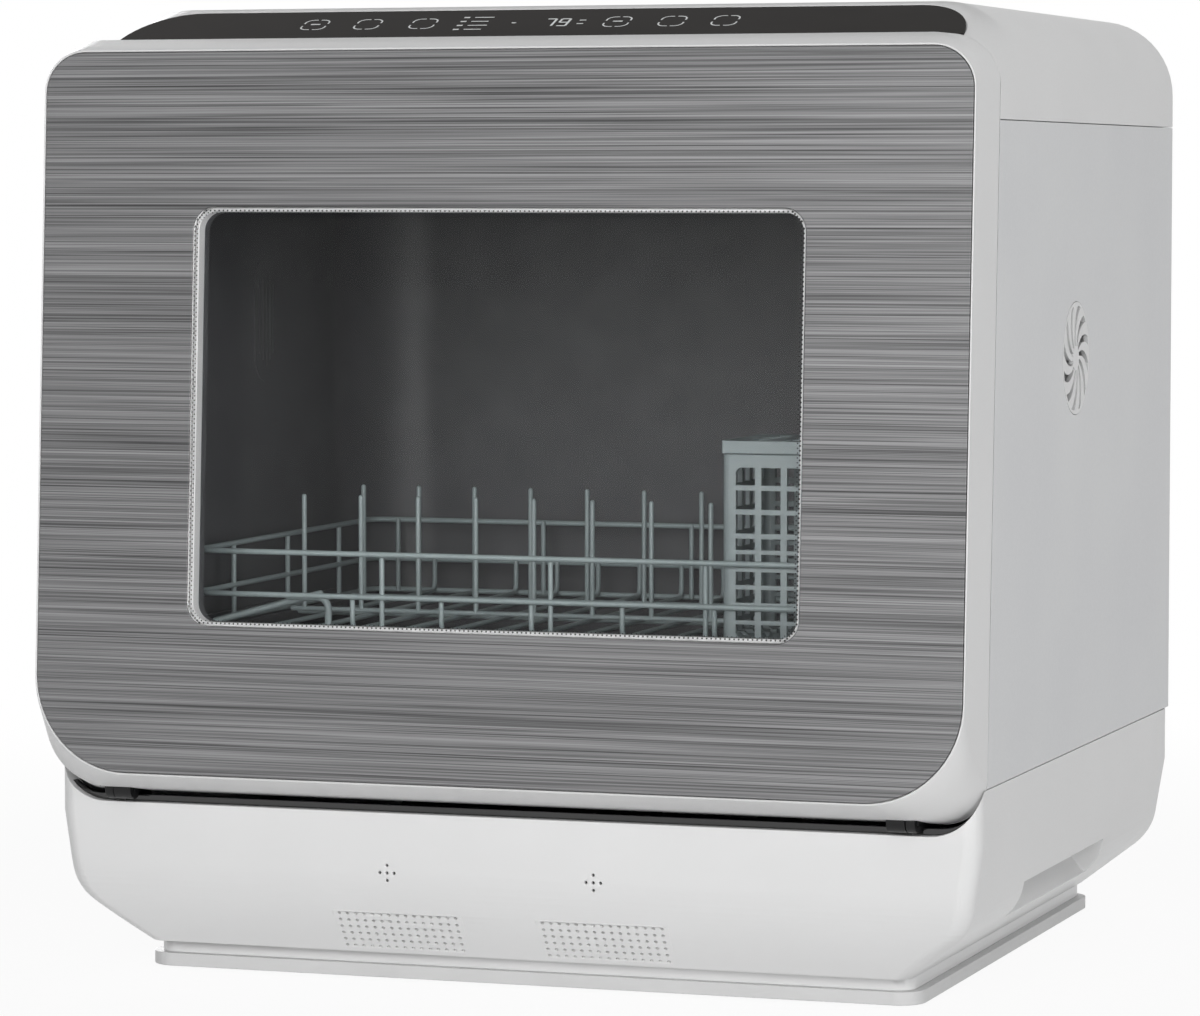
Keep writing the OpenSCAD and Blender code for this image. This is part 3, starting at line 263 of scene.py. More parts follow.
# %% [markdown]
# The two side panels and the back are sheet steel with a powder coat. Melted powder leaves a fine orange
# peel, about a millimetre from crest to crest, which breaks up reflections without looking rough.

# %% Powder coated panels
powder, tree, shader, place = new_finish("powder_coated_sheet_steel", "#D3D4D6", 0.36)
peel = add(tree, "ShaderNodeTexNoise", {"Vector": place, "Scale": 1 / 1.3, "Detail": 2.0})
drift = add(tree, "ShaderNodeTexNoise", {"Vector": place, "Scale": 1 / 90, "Detail": 1.0})
tint(tree, shader, drift, "#D1D2D4", "#D6D7D8")
roughen(tree, shader, peel, 0.32, 0.42)
relief(tree, shader, peel, 0.02)

# %% [markdown]
# The front is a sheet with a coarse horizontal brush. A brush leaves strokes that are very long and very
# thin, each a little lighter or darker than the next. Noise that is stretched along the width gives them:
# one layer of strokes about 1.2 mm apart, one of hairlines and one of broad bands, each with its share of the
# pattern. The pattern depends on height alone apart from the slow change along each stroke, so it stays level
# on the leaning door. Lighter strokes are a little smoother.

# %% Brushed front
brushed, tree, shader, place = new_finish("brushed_front_sheet", "#5C5C5D", 0.46, Metallic=0.25,
                                          Specular_IOR_Level=0.25)


# length and height in millimetres, seed, and share of the pattern
BRUSH = ((300, 0.62, 11.7, 0.60), (110, 0.34, 23.3, 0.36), (900, 10, 3.1, 0.10))


def strokes(length_mm, height_mm, seed):
    """Noise with strokes of that length and height."""
    scaled = add(tree, "ShaderNodeVectorMath", {0: place, 1: (1 / length_mm, 1 / length_mm, 1 / height_mm)},
                 operation="MULTIPLY")
    moved = add(tree, "ShaderNodeVectorMath", {0: scaled, 1: (seed, 0, seed * 3)}, operation="ADD")
    return add(tree, "ShaderNodeTexNoise", {"Vector": moved, "Scale": 1.0, "Detail": 2.0, "Roughness": 0.6})


all_strokes = 0.0
for length, height, seed, share in BRUSH:
    all_strokes = add(tree, "ShaderNodeMath", {0: strokes(length, height, seed), 1: share, 2: all_strokes},
                      operation="MULTIPLY_ADD")
tint(tree, shader, all_strokes, "#3A3A3B", "#8E8E8F", (0.38, 0.66))
roughen(tree, shader, all_strokes, 0.52, 0.40, (0.38, 0.68))
relief(tree, shader, all_strokes, 0.03, 0.35)
print("layers of brushing:", len(BRUSH))

# The sheet's edge faces take a light colour: a painted highlight where the rounded edge catches light.
edge_painted_highlight, tree, shader, place = new_finish("polished_sheet_edge", "#D8D8D9", 0.22, Metallic=0.6)
nicks = add(tree, "ShaderNodeTexNoise", {"Vector": place, "Scale": 1 / 3, "Detail": 2.0})
roughen(tree, shader, nicks, 0.16, 0.30)

# %% [markdown]
# The window is two panes of clear toughened glass with an anti-glare coat, which leaves next to no
# reflection: an IOR of 1.13 in place of 1.5 stands for the coated glass. Real glass bends the light that
# the lens sees, but if it also bent the light of the lamps, the tub behind it would stay black. So lamps
# pass straight through it. The touch strip's glass is smoked: nearly black with a faint brown cast, and
# coated too, so that it mirrors next to nothing.

# %% Glass
clear_glass, tree, shader, place = new_finish("clear_toughened_glass", "#FDFDFD", 0.02,
                                              IOR=1.13, Transmission_Weight=1.0)
smear = add(tree, "ShaderNodeTexNoise", {"Vector": place, "Scale": 1 / 60, "Detail": 2.0})
roughen(tree, shader, smear, 0.005, 0.04, (0.35, 0.75))
path = add(tree, "ShaderNodeLightPath")
lets_through = add(tree, "ShaderNodeMath", {0: path.outputs["Is Shadow Ray"],
                                            1: path.outputs["Is Diffuse Ray"]}, operation="MAXIMUM")
open_way = add(tree, "ShaderNodeBsdfTransparent", {"Color": colour("#FCFCFC")})
either = add(tree, "ShaderNodeMixShader", {0: lets_through, 1: shader, 2: open_way})
output = next(node for node in tree.nodes if node.type == "OUTPUT_MATERIAL")
tree.links.new(either.outputs[0], output.inputs["Surface"])

smoked_glass, tree, shader, place = new_finish("smoked_touch_glass", "#282422", 0.14,
                                               IOR=1.5, Specular_IOR_Level=0.01)
film = add(tree, "ShaderNodeTexNoise", {"Vector": place, "Scale": 1 / 45, "Detail": 2.0})
tint(tree, shader, film, "#262321", "#2A2725")
roughen(tree, shader, film, 0.10, 0.18)

# %% [markdown]
# The other parts are moulded, dipped, printed or rolled. What they share is a slow change of tone and a fine
# grain, which sets how soft their highlights are. One function makes such a finish from its two tones, its
# smoothest and roughest value, and the size and the depth of its grain in millimetres.
#
# - Polished ABS is nearly smooth and shows a clear, dark reflection.
# - The window's reveal is the housing's ABS, a brighter white that is painted light, and the plinth's is a
#   light grey that is painted shade.
# - Polypropylene is waxy: it has a broad, weak highlight, on charcoal in the tub and on grey in the basket.
# - Nylon flows round the rack's wire and leaves a soft line of light along it.
# - Stainless steel is bright and a little blurred, and coated steel is black and dull.
# - Rubber is matt, and so are the inks on the glass.

# %% Plastics, rubber, metals and inks
def mottled(name, dark, light, smooth, rough, grain_mm, depth_mm, **sockets):
    """A finish with a slow change of tone and a fine grain: what most moulded or cast parts have."""
    material, tree, shader, place = new_finish(name, dark, rough, **sockets)
    slow = add(tree, "ShaderNodeTexNoise", {"Vector": place, "Scale": 1 / 22, "Detail": 3.0})
    fine = add(tree, "ShaderNodeTexNoise", {"Vector": place, "Scale": 1 / grain_mm, "Detail": 2.0})
    tint(tree, shader, slow, dark, light)
    roughen(tree, shader, fine, smooth, rough)
    relief(tree, shader, fine, depth_mm)
    return material


gloss_black = mottled("polished_black_abs", "#0D0D0E", "#141415", 0.06, 0.12, 6, 0.004, Coat_Weight=0.5)
tub_plastic = mottled("moulded_charcoal_polypropylene", "#505153", "#58595B", 0.42, 0.56, 1.1, 0.02,
                      Specular_IOR_Level=0.3)
wire_coat = mottled("nylon_coated_wire", "#9CAAAB", "#A8B5B6", 0.30, 0.42, 0.8, 0.02, Coat_Weight=0.2)
basket_pp = mottled("moulded_grey_polypropylene", "#94A0A2", "#9EA9AA", 0.42, 0.55, 0.9, 0.02)
stainless = mottled("stainless_steel", "#A9A9AB", "#B9B9BB", 0.22, 0.34, 0.7, 0.006, Metallic=1.0)
# Black coated steel for the hinges. The same black is also painted shade on the walls of the grilles' holes
# and behind the air grille.
black_steel_and_painted_shade = mottled("black_coated_steel", "#0C0C0D", "#111112", 0.34, 0.46, 0.8, 0.01,
                      Specular_IOR_Level=0.3)
rubber = mottled("moulded_epdm_rubber", "#1C1C1E", "#252527", 0.62, 0.78, 0.7, 0.03)
works = mottled("glass_filled_nylon", "#33353A", "#3E4045", 0.48, 0.6, 0.6, 0.03)
tank_pp = mottled("natural_polypropylene", "#C9D1D4", "#D6DDDF", 0.36, 0.5, 1.5, 0.01,
                  Subsurface_Weight=0.1)
pale_ink = mottled("screen_printed_pale_ink", "#E2E4E4", "#EAECEC", 0.45, 0.6, 0.5, 0.005)
# the reveal's white is lighter than the housing's: painted light
reveal_abs_painted_light = mottled("moulded_bright_white_abs", "#F0F0F0", "#F4F4F4", 0.34, 0.44, 0.9, 0.01)
# the plinth's grey is darker than the housing's white: painted shade
plinth_abs_painted_shade = mottled("moulded_light_grey_abs", "#C8C8C8", "#CCCCCC", 0.36, 0.46, 0.9, 0.012)
black_ink = mottled("fired_black_ceramic_ink", "#0F0F10", "#171718", 0.45, 0.6, 0.5, 0.005)
print("finishes so far:", len(bpy.data.materials))

# %% [markdown]
# ## Giving finishes to the CAD parts
# A CAD part whose shape is right keeps its own mesh and only takes a finish. This table pairs them.

# %% Finishes for the parts that stay
PLAIN_PARTS = {
    white_abs: "side_vent fill_funnel fan_housing",
    tub_plastic: "sump filter runner_left runner_right spray_hub spray_nut fan_impeller",
    stainless: "door_strike lock_bracket lock_hook",
    black_steel_and_painted_shade: "hinge_pin_left hinge_pin_right hinge_bracket_left hinge_bracket_right",
    rubber: "tub_seal",
    works: "control_board wash_pump drain_pump feed_pipe tank_shelf inlet_port drain_port power_inlet",
    tank_pp: "water_tank",
    clear_glass: "outer_glass inner_glass",
}
for finish, names in PLAIN_PARTS.items():
    for name in names.split():
        mesh = NODES[name].data
        mesh.materials.clear()
        mesh.materials.append(finish)
print("parts that stay:", sum(len(names.split()) for names in PLAIN_PARTS.values()))

# %% [markdown]
# ## Softened copies
# The solids have knife edges where a moulded part has small radii, and it is those radii that catch the
# light. A part is copied, its loose triangles are joined, its flat areas are made whole again, and its
# outer edges are rounded by about half a millimetre. The copy then stands for the CAD part.

# %% Copy, join and round
SAME_CORNER = 4e-6   # metres between corners that are one
FLAT = radians(0.5)  # turn between faces that are one


def whole_copy(node):
    """A CAD part's shape with its corners joined and its flat areas in one piece."""
    shape = bmesh.new()
    shape.from_mesh(NODES[node].data)
    bmesh.ops.remove_doubles(shape, verts=shape.verts, dist=SAME_CORNER)
    bmesh.ops.dissolve_limit(shape, angle_limit=FLAT, verts=shape.verts, edges=shape.edges)
    return shape


def inside(point, box, grow_mm=0.0):
    """Whether a point is in a box that is grown by so much on every side."""
    return all(box[0][i] - grow_mm * MM <= point[i] <= box[1][i] + grow_mm * MM for i in range(3))


def round_edges(shape, radius_mm, steps=2, turn=32, kept_sharp=(), margin_mm=0.4):
    """Rounds the outer edges that turn by more than that angle, and never leaves the old box. Edges in a box
    that is kept sharp, or within the margin round it, stay as they are."""
    low = [min(v.co[i] for v in shape.verts) for i in range(3)]
    high = [max(v.co[i] for v in shape.verts) for i in range(3)]
    sharp = [e for e in shape.edges if e.is_manifold and e.is_convex and e.calc_face_angle(0) > radians(turn)
             and not any(inside((e.verts[0].co + e.verts[1].co) / 2, box, margin_mm) for box in kept_sharp)]
    bmesh.ops.bevel(shape, geom=sharp, offset=radius_mm * MM, offset_type="OFFSET", segments=steps,
                    profile=0.5, affect="EDGES", clamp_overlap=False, harden_normals=False)
    for v in shape.verts:
        v.co = [min(max(v.co[i], low[i]), high[i]) for i in range(3)]
    return len(sharp)


def make_piece(name, shape, finish, body, stands_for=(), turn=35):
    """A finished piece from a mesh or a bmesh: linked, smooth, dressed and riding on its body."""
    if isinstance(shape, bmesh.types.BMesh):
        mesh = bpy.data.meshes.new(name)
        shape.to_mesh(mesh)
        shape.free()
    else:
        mesh = shape
    obj = bpy.data.objects.new(name, mesh)
    scene.collection.objects.link(obj)
    mesh.materials.clear()
    for one in finish if isinstance(finish, (list, tuple)) else [finish]:
        mesh.materials.append(one)
    mesh.shade_smooth()
    mesh.set_sharp_from_angle(angle=radians(turn))
    even = obj.modifiers.new("even_shading", "WEIGHTED_NORMAL")
    even.keep_sharp = True
    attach(obj, body)
    if stands_for:
        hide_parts(*stands_for)
    return obj

# %% [markdown]
# Each row of the next table is one such copy: the CAD part, the body it rides on, its finish, the slot that
# the finish belongs to, and the radius of its edges in millimetres. Glass and sheet metal get the smallest
# radii, and the feet and the thick mouldings the largest. The basket's lattice has thousands of edges, so it
# is rounded in one step instead of two.

# %% Rounded parts of the cabinet and the door
ROUNDED = [
    ("top_cover", "cabinet", white_abs, "white_plastic", 0.4),
    ("front_frame", "cabinet", white_abs, "white_plastic", 0.4),
    ("plinth", "cabinet", plinth_abs_painted_shade, "white_plastic", 0.4),
    ("side_panel_left", "cabinet", powder, "white_panel", 0.3),
    ("side_panel_right", "cabinet", powder, "white_panel", 0.3),
    ("gap_trim", "cabinet", gloss_black, "black_gloss", 0.3),
    ("control_glass", "cabinet", smoked_glass, "black_gloss", 0.25),
    ("tub", "cabinet", tub_plastic, "dark_plastic", 0.5),
    ("tub_flange", "cabinet", tub_plastic, "dark_plastic", 0.4),
    ("foot_front_left", "cabinet", rubber, "rubber", 0.5),
    ("foot_front_right", "cabinet", rubber, "rubber", 0.5),
    ("foot_rear_left", "cabinet", rubber, "rubber", 0.5),
    ("foot_rear_right", "cabinet", rubber, "rubber", 0.5),
    ("hinge_arm_left", "cabinet", black_steel_and_painted_shade, "steel", 0.4),
    ("hinge_arm_right", "cabinet", black_steel_and_painted_shade, "steel", 0.4),
    ("door_rim", "door", white_abs, "white_plastic", 0.5),
    ("window_frame", "door", reveal_abs_painted_light, "white_plastic", 0.3),
    ("door_liner", "door", tub_plastic, "dark_plastic", 0.6),
    ("spray_arm", "spray_arm", tub_plastic, "dark_plastic", 0.5),
    ("fill_lid", "fill_lid", white_abs, "white_plastic", 0.35),
    ("cutlery_basket", "cutlery_basket", basket_pp, "basket_plastic", 0.3),
    ("cutlery_lid", "cutlery_lid", basket_pp, "basket_plastic", 0.35),
]
for node, body, finish, slot, radius in ROUNDED:
    shape = whole_copy(node)
    count = round_edges(shape, radius, steps=1 if node == "cutlery_basket" else 2)
    make_piece(node + "_skin", shape, finish, body, [node])
    print(node, "edges rounded:", count)

# %% [markdown]
# The base's front is upright above and slopes back below. The solids turn from one to the other in a tight
# bend, where the moulding rolls over in a curve about 36 mm high. So its copy is sliced at many heights, and
# each slice is set back to a parabola that meets the upright and the slope without a corner. The grilles are
# moulded in one with it: they roll over with it and reach 0.12 mm over the joint that the solids leave. The
# walls of their holes are painted black as shade, since hardly any light reaches down them.

# %% Base and its grilles
BEND, REACH = 35.0, 18.0       # height of the bend, and how far the curve reaches above and below it
STEEPNESS = 0.77               # how far the slope runs back for each millimetre down
SOFTNESS = 2.0                 # of the bend in the solids
FRONT_Y = -167.0               # the upright front
SKIN, FADE = 3.2, 12.0         # the wall moves as a whole, and what lies behind it less and less
WIDER, TALLER = 1.004, 1.0096  # growth of a grille's copy
SLOPE_OUT = Vector((0, -1, -STEEPNESS)).normalized()


def roll_over(shape, slices=14):
    """Turns the tight bend of the base's front into a wide curve."""
    bmesh.ops.triangulate(shape, faces=shape.faces)
    for i in range(slices + 1):
        cut = mm(0, 0, BEND - REACH + 2 * REACH * i / slices)
        bmesh.ops.bisect_plane(shape, geom=shape.verts[:] + shape.edges[:] + shape.faces[:], dist=1e-7,
                               plane_co=cut, plane_no=(0, 0, 1))
    for v in shape.verts:
        below = BEND - v.co.z * 1000
        if abs(below) < REACH:
            curve = STEEPNESS * (REACH - abs(below)) ** 2 / (4 * REACH)
            tight = STEEPNESS * ((below ** 2 + SOFTNESS ** 2) ** 0.5 - abs(below)) / 2
            behind_front = v.co.y * 1000 - FRONT_Y - STEEPNESS * max(below, 0)
            share = min(max(1 - (behind_front - SKIN) / FADE, 0), 1)
            v.co.y += max(curve - tight, 0) * share * MM


grilles = [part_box("grille_left"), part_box("grille_right")]
shape = whole_copy("base_shell")
print("base edges rounded:", round_edges(shape, 0.35, kept_sharp=grilles))
roll_over(shape)
make_piece("base_shell_skin", shape, white_abs, "cabinet", ["base_shell"])
for node, (low, high) in zip(("grille_left", "grille_right"), grilles):
    shape = whole_copy(node)
    middle = (low + high) / 2
    for v in shape.verts:
        away = v.co - middle
        v.co = middle + Vector((away.x * WIDER, away.y * TALLER, away.z * TALLER))
    roll_over(shape)
    shape.normal_update()
    # faces that are walls of the holes take the black finish, which is painted shade
    for face in shape.faces:
        is_wall = abs(face.normal.dot(SLOPE_OUT)) < 0.3
        face.material_index = 1 if is_wall else 0
    make_piece(node + "_skin", shape, [white_abs, black_steel_and_painted_shade], "cabinet", [node])

# %% [markdown]
# The air grille in the tub's side is a thin plate over a duct in deep shade. Its copy is pressed to a quarter
# of its thickness, and a black sheet behind it, which is painted shade, shows through the slots.

# %% Air grille
THINNER = 0.25            # the share of the thickness that stays
EDGE, ABOVE = 1.5, 0.08   # the sheet is this much narrower all round, and this far off the plate's back
ARC = 16                  # sides of each round end
low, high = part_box("air_grille")
shape = whole_copy("air_grille")
for v in shape.verts:
    v.co.x = low.x + (v.co.x - low.x) * THINNER
middle = (low + high) / 2
half_w, half_h = (high.y - low.y) / 2 - EDGE * MM, (high.z - low.z) / 2 - EDGE * MM
shade_sheet_corners = []
for end, start in ((1, 0), (-1, pi)):
    for i in range(ARC + 1):
        a = start + pi * i / ARC
        shade_sheet_corners.append(shape.verts.new((low.x + ABOVE * MM, middle.y + half_w * cos(a),
                                     middle.z + end * (half_h - half_w) + half_w * sin(a))))
back = shape.faces.new(shade_sheet_corners)
back.normal_update()
if back.normal.x < 0:
    back.normal_flip()
# the black sheet is painted shade in the duct
back.material_index = 1
print("corners of the black sheet:", len(shade_sheet_corners))
make_piece("air_grille_skin", shape, [tub_plastic, black_steel_and_painted_shade], "cabinet", ["air_grille"])

# %% [markdown]
# ## The brushed front
# A thin bright line runs round the sheet's edge. The copy's edge is rounded, so that it catches real light,
# and every face that doesn't look straight out of the door takes a light finish that is a painted highlight.

# %% Front sheet
shape = whole_copy("door_face")
round_edges(shape, 0.45, steps=2)
shape.normal_update()
out_of_door = (on_door.to_3x3() @ Vector((0, 0, 1))).normalized()
# faces that don't look out take the light edge finish, a painted highlight
for face in shape.faces:
    looks_out = face.normal.dot(out_of_door) > 0.98
    face.material_index = 0 if looks_out else 1
make_piece("door_face_skin", shape, [brushed, edge_painted_highlight], "door", ["door_face"])

# %% [markdown]
# ## Growing shapes with Geometry Nodes
# Printed dots, wires and screws are many copies of one small thing along a rule, and Geometry Nodes are
# made for that. Each tree is built here with named inputs, runs once on a helper object, and its result is
# kept as a plain mesh. The first helper makes an empty tree, the second runs a tree.

# %% Make a tree, run a tree
def new_tree(name, **inputs):
    """An empty Geometry Nodes tree with one named input for each value that is given."""
    tree = bpy.data.node_groups.new(name, "GeometryNodeTree")
    tree.interface.new_socket("Geometry", in_out="INPUT", socket_type="NodeSocketGeometry")
    for label, value in inputs.items():
        kind = {float: "NodeSocketFloat", int: "NodeSocketInt"}.get(type(value), "NodeSocketMaterial")
        kind = "NodeSocketObject" if isinstance(value, bpy.types.Object) else kind
        socket = tree.interface.new_socket(label, in_out="INPUT", socket_type=kind)
        socket.default_value = value
    tree.interface.new_socket("Geometry", in_out="OUTPUT", socket_type="NodeSocketGeometry")
    return tree, add(tree, "NodeGroupInput").outputs


def finish_tree(tree, geometry, material):
    """Ends a tree: real geometry in place of instances, with its material."""
    real = add(tree, "GeometryNodeRealizeInstances", {0: geometry})
    painted = add(tree, "GeometryNodeSetMaterial", {"Geometry": real, "Material": material})
    add(tree, "NodeGroupOutput", {0: painted})


def grow(tree, start, place=None, **inputs):
    """Runs a tree on a helper object with these inputs and gives back a plain mesh."""
    helper = bpy.data.objects.new(tree.name, start)
    scene.collection.objects.link(helper)
    grower = helper.modifiers.new("grower", "NODES")
    grower.node_group = tree
    sockets = {s.name: s.identifier for s in tree.interface.items_tree if s.in_out == "INPUT"}
    for label, value in inputs.items():
        grower[sockets[label]] = value
    mesh = bpy.data.meshes.new_from_object(helper.evaluated_get(bpy.context.evaluated_depsgraph_get()))
    helper.modifiers.remove(grower)
    bpy.data.objects.remove(helper)
    if place:
        mesh.transform(place)
    return mesh

# %% [markdown]
# ### Dots printed round the window
# Glass that is glued or clipped behind an opening often has a border of ceramic dots, which are fired on
# and shrink towards the clear area. Here they fill a band 2.6 mm wide on a staggered grid, and their spacing
# of 2 mm is about twice the usual one, so that they still show from afar. The tree starts with two square
# grids, the second half a step to the right of and above the first.

# %% Grid of the window dots
WINDOW_W, WINDOW_LOW, WINDOW_HIGH, WINDOW_R = 276.0, 76.7, 257.7, 10.0
PITCH, BAND, DOT = 2.0, 2.6, 0.58  # the grid's step, the band's width and a dot's radius
PRINT_DEPTH = 0.28                 # how far the dots lie below the door's face
SMALLEST = 0.45                    # size of the innermost dots, as a share of the outermost

tree, ask = new_tree("window_dots", Width=WINDOW_W * MM, Height=(WINDOW_HIGH - WINDOW_LOW) * MM,
                     Corner=WINDOW_R * MM, Pitch=PITCH * MM, Band=BAND * MM, Dot=DOT * MM, Ink=black_ink)


DIRECTIONS = (("Width", "X"), ("Height", "Y"))
grid = add(tree, "GeometryNodeMeshGrid")
for side, axis in DIRECTIONS:
    steps = add(tree, "ShaderNodeMath", {0: ask[side], 1: ask["Pitch"]}, operation="DIVIDE")
    whole = add(tree, "ShaderNodeMath", {0: steps}, operation="CEIL")
    size = add(tree, "ShaderNodeMath", {0: whole, 1: ask["Pitch"]}, operation="MULTIPLY")
    points = add(tree, "ShaderNodeMath", {0: whole, 1: 1.0}, operation="ADD")
    tree.links.new(size.outputs[0], grid.inputs["Size " + axis])
    tree.links.new(points.outputs[0], grid.inputs["Vertices " + axis])
half = add(tree, "ShaderNodeMath", {0: ask["Pitch"], 1: 0.5}, operation="MULTIPLY")
half_step = add(tree, "ShaderNodeCombineXYZ", {0: half, 1: half})
shifted = add(tree, "GeometryNodeTransform", {"Geometry": grid, "Translation": half_step})
lattice = add(tree, "GeometryNodeJoinGeometry", {0: grid})
tree.links.new(shifted.outputs[0], lattice.inputs[0])

# %% [markdown]
# How deep does a point lie inside a rounded edge? One quarter of the window is enough, so the tree takes the
# point's place without its sign. It then measures how far the point lies past the corner's middle in each
# direction: beyond both, the distance is round, and anywhere else the nearer straight side counts.

# %% Depth of a dot inside the edge
position = add(tree, "GeometryNodeInputPosition")
quarter = add(tree, "ShaderNodeVectorMath", {0: position}, operation="ABSOLUTE")
spot = add(tree, "ShaderNodeSeparateXYZ", {0: quarter})
less_corner = add(tree, "ShaderNodeMath", {0: ask["Corner"], 1: -1.0}, operation="MULTIPLY")
past, outward = [], []
for side, axis in DIRECTIONS:
    straight = add(tree, "ShaderNodeMath", {0: ask[side], 1: 0.5, 2: less_corner}, operation="MULTIPLY_ADD")
    past.append(add(tree, "ShaderNodeMath", {0: spot.outputs[axis], 1: straight}, operation="SUBTRACT"))
    outward.append(add(tree, "ShaderNodeMath", {0: past[-1], 1: 0.0}, operation="MAXIMUM"))
outside = add(tree, "ShaderNodeCombineXYZ", {0: outward[0], 1: outward[1]})
reach = add(tree, "ShaderNodeVectorMath", {0: outside}, operation="LENGTH")
nearer = add(tree, "ShaderNodeMath", {0: past[0], 1: past[1]}, operation="MAXIMUM")
within = add(tree, "ShaderNodeMath", {0: nearer, 1: 0.0}, operation="MINIMUM")
from_middle = add(tree, "ShaderNodeMath", {0: reach.outputs["Value"], 1: within}, operation="ADD")
depth = add(tree, "ShaderNodeMath", {0: ask["Corner"], 1: from_middle}, operation="SUBTRACT")
print("nodes so far:", len(tree.nodes))

# %% [markdown]
# Points that lie deeper than the band or nearer than a dot's radius to the edge are dropped. What is left
# gets a disc with eight sides, which is scaled down with depth.

# %% Discs on the points that stay
clear_area = add(tree, "FunctionNodeCompare", {0: depth, 1: ask["Band"]},
                 data_type="FLOAT", operation="GREATER_THAN")
too_near = add(tree, "FunctionNodeCompare", {0: depth, 1: ask["Dot"]},
               data_type="FLOAT", operation="LESS_THAN")
unwanted = add(tree, "FunctionNodeBooleanMath", {0: clear_area, 1: too_near}, operation="OR")
kept = add(tree, "GeometryNodeDeleteGeometry", {"Geometry": lattice, "Selection": unwanted}, domain="POINT")
disc = add(tree, "GeometryNodeMeshCircle", {"Vertices": 8, "Radius": ask["Dot"]}, fill_type="NGON")
shrink = add(tree, "ShaderNodeMapRange", {"Value": depth, "From Min": 0.0, "From Max": ask["Band"],
                                          "To Min": 1.0, "To Max": SMALLEST})
dots = add(tree, "GeometryNodeInstanceOnPoints", {"Points": kept, "Instance": disc, "Scale": shrink})
finish_tree(tree, dots, ask["Ink"])
in_window = on_door @ Matrix.Translation(mm(0, (WINDOW_LOW + WINDOW_HIGH) / 2, -PRINT_DEPTH))
mesh = grow(tree, bpy.data.meshes.new("start"), in_window, Ink=black_ink)
make_piece("window_dots", mesh, black_ink, "door")
print("dots:", len(mesh.polygons))

# %% [markdown]
# ### The wire rack
# The rack is bent from steel wire, spot welded and dipped in nylon. Its wires are drawn as lines with
# sharp corners. The tree bends the corners to a real radius, sweeps a round section along them, and closes
# each cut end with a drop of the coating. One tree serves the thick rails and the thin floor wires.

# %% Tree that bends and sweeps wires
tree, ask = new_tree("bent_wires", Radius=1.4 * MM, Bend=6 * MM, Coating=wire_coat)
bent = add(tree, "GeometryNodeFilletCurve", {"Curve": ask["Geometry"], "Radius": ask["Bend"], "Count": 6,
                                             "Limit Radius": True}, mode="POLY")
section = add(tree, "GeometryNodeCurvePrimitiveCircle", {"Resolution": 12, "Radius": ask["Radius"]})
swept = add(tree, "GeometryNodeCurveToMesh", {"Curve": bent, "Profile Curve": section, "Fill Caps": True})
drop = add(tree, "GeometryNodeMeshUVSphere", {"Segments": 12, "Rings": 6, "Radius": ask["Radius"]})
ends = add(tree, "GeometryNodeCurveEndpointSelection")
drops = add(tree, "GeometryNodeInstanceOnPoints", {"Points": bent, "Selection": ends, "Instance": drop})
all_wire = add(tree, "GeometryNodeJoinGeometry", {0: swept})
tree.links.new(drops.outputs[0], all_wire.inputs[0])
finish_tree(tree, all_wire, ask["Coating"])
wire_tree = tree


def wires(name, paths, radius_mm, bend_mm, closed=False):
    """A mesh of wires along these paths, which are lists of points in millimetres."""
    lines = bpy.data.curves.new(name, "CURVE")
    lines.dimensions = "3D"
    for path in paths:
        spline = lines.splines.new("POLY")
        spline.points.add(len(path) - 1)
        spline.use_cyclic_u = closed
        for point, place in zip(spline.points, path):
            point.co = (*mm(*place), 1)
    return grow(wire_tree, lines, Radius=radius_mm * MM, Bend=bend_mm * MM, Coating=wire_coat)

# %% [markdown]
# Three rings of thick wire carry the rack, and thin posts join them. The floor wires run from front to back
# and turn up at the back, and every second one in front as well, but for the outermost. Two rows of tines
# hold the plates, and a bent hook of thicker wire stands at the left front. Lengths are in millimetres, with
# x across, y to the back and z up.

# %% Rails, posts, floor wires and tines
SIDE, FRONT, BACK = 164, -121, 97                       # the rings
FLOOR, RAIL_LOW, RAIL_HIGH, TIP = 151, 166, 185, 205    # their heights, and that of the tines
THICK, THIN, HOOK = 1.25, 1.15, 1.6                     # radii of the wires
WIDE_BEND, BEND_R = 9, 5                                # radii of their bends
BESIDE, UNDER, OVER, BELOW_RAIL = 2.4, 2.1, 2.3, 2.6    # steps from one wire's middle to the next one's
FRONT_POSTS, BACK_POSTS, OUTER_POST = (-75, 4, 75), (-150, -75, 0, 75, 150), 150
FLOOR_PITCH, FLOOR_SHIFT, CROSS_END = 21, -5, 158       # floor wires, and the ends of the cross wires
TINE_X, TINE_PITCH, OVERHANG = -142, 28, 6              # first tine, and the rod's length past the outer ones
MIDDLE = (FRONT + BACK) / 2

ring = [(-SIDE, FRONT), (SIDE, FRONT), (SIDE, BACK), (-SIDE, BACK)]
rails = wires("rails", [[(x, y, z) for x, y in ring] for z in (FLOOR, RAIL_LOW, RAIL_HIGH)],
              THICK, WIDE_BEND, closed=True)

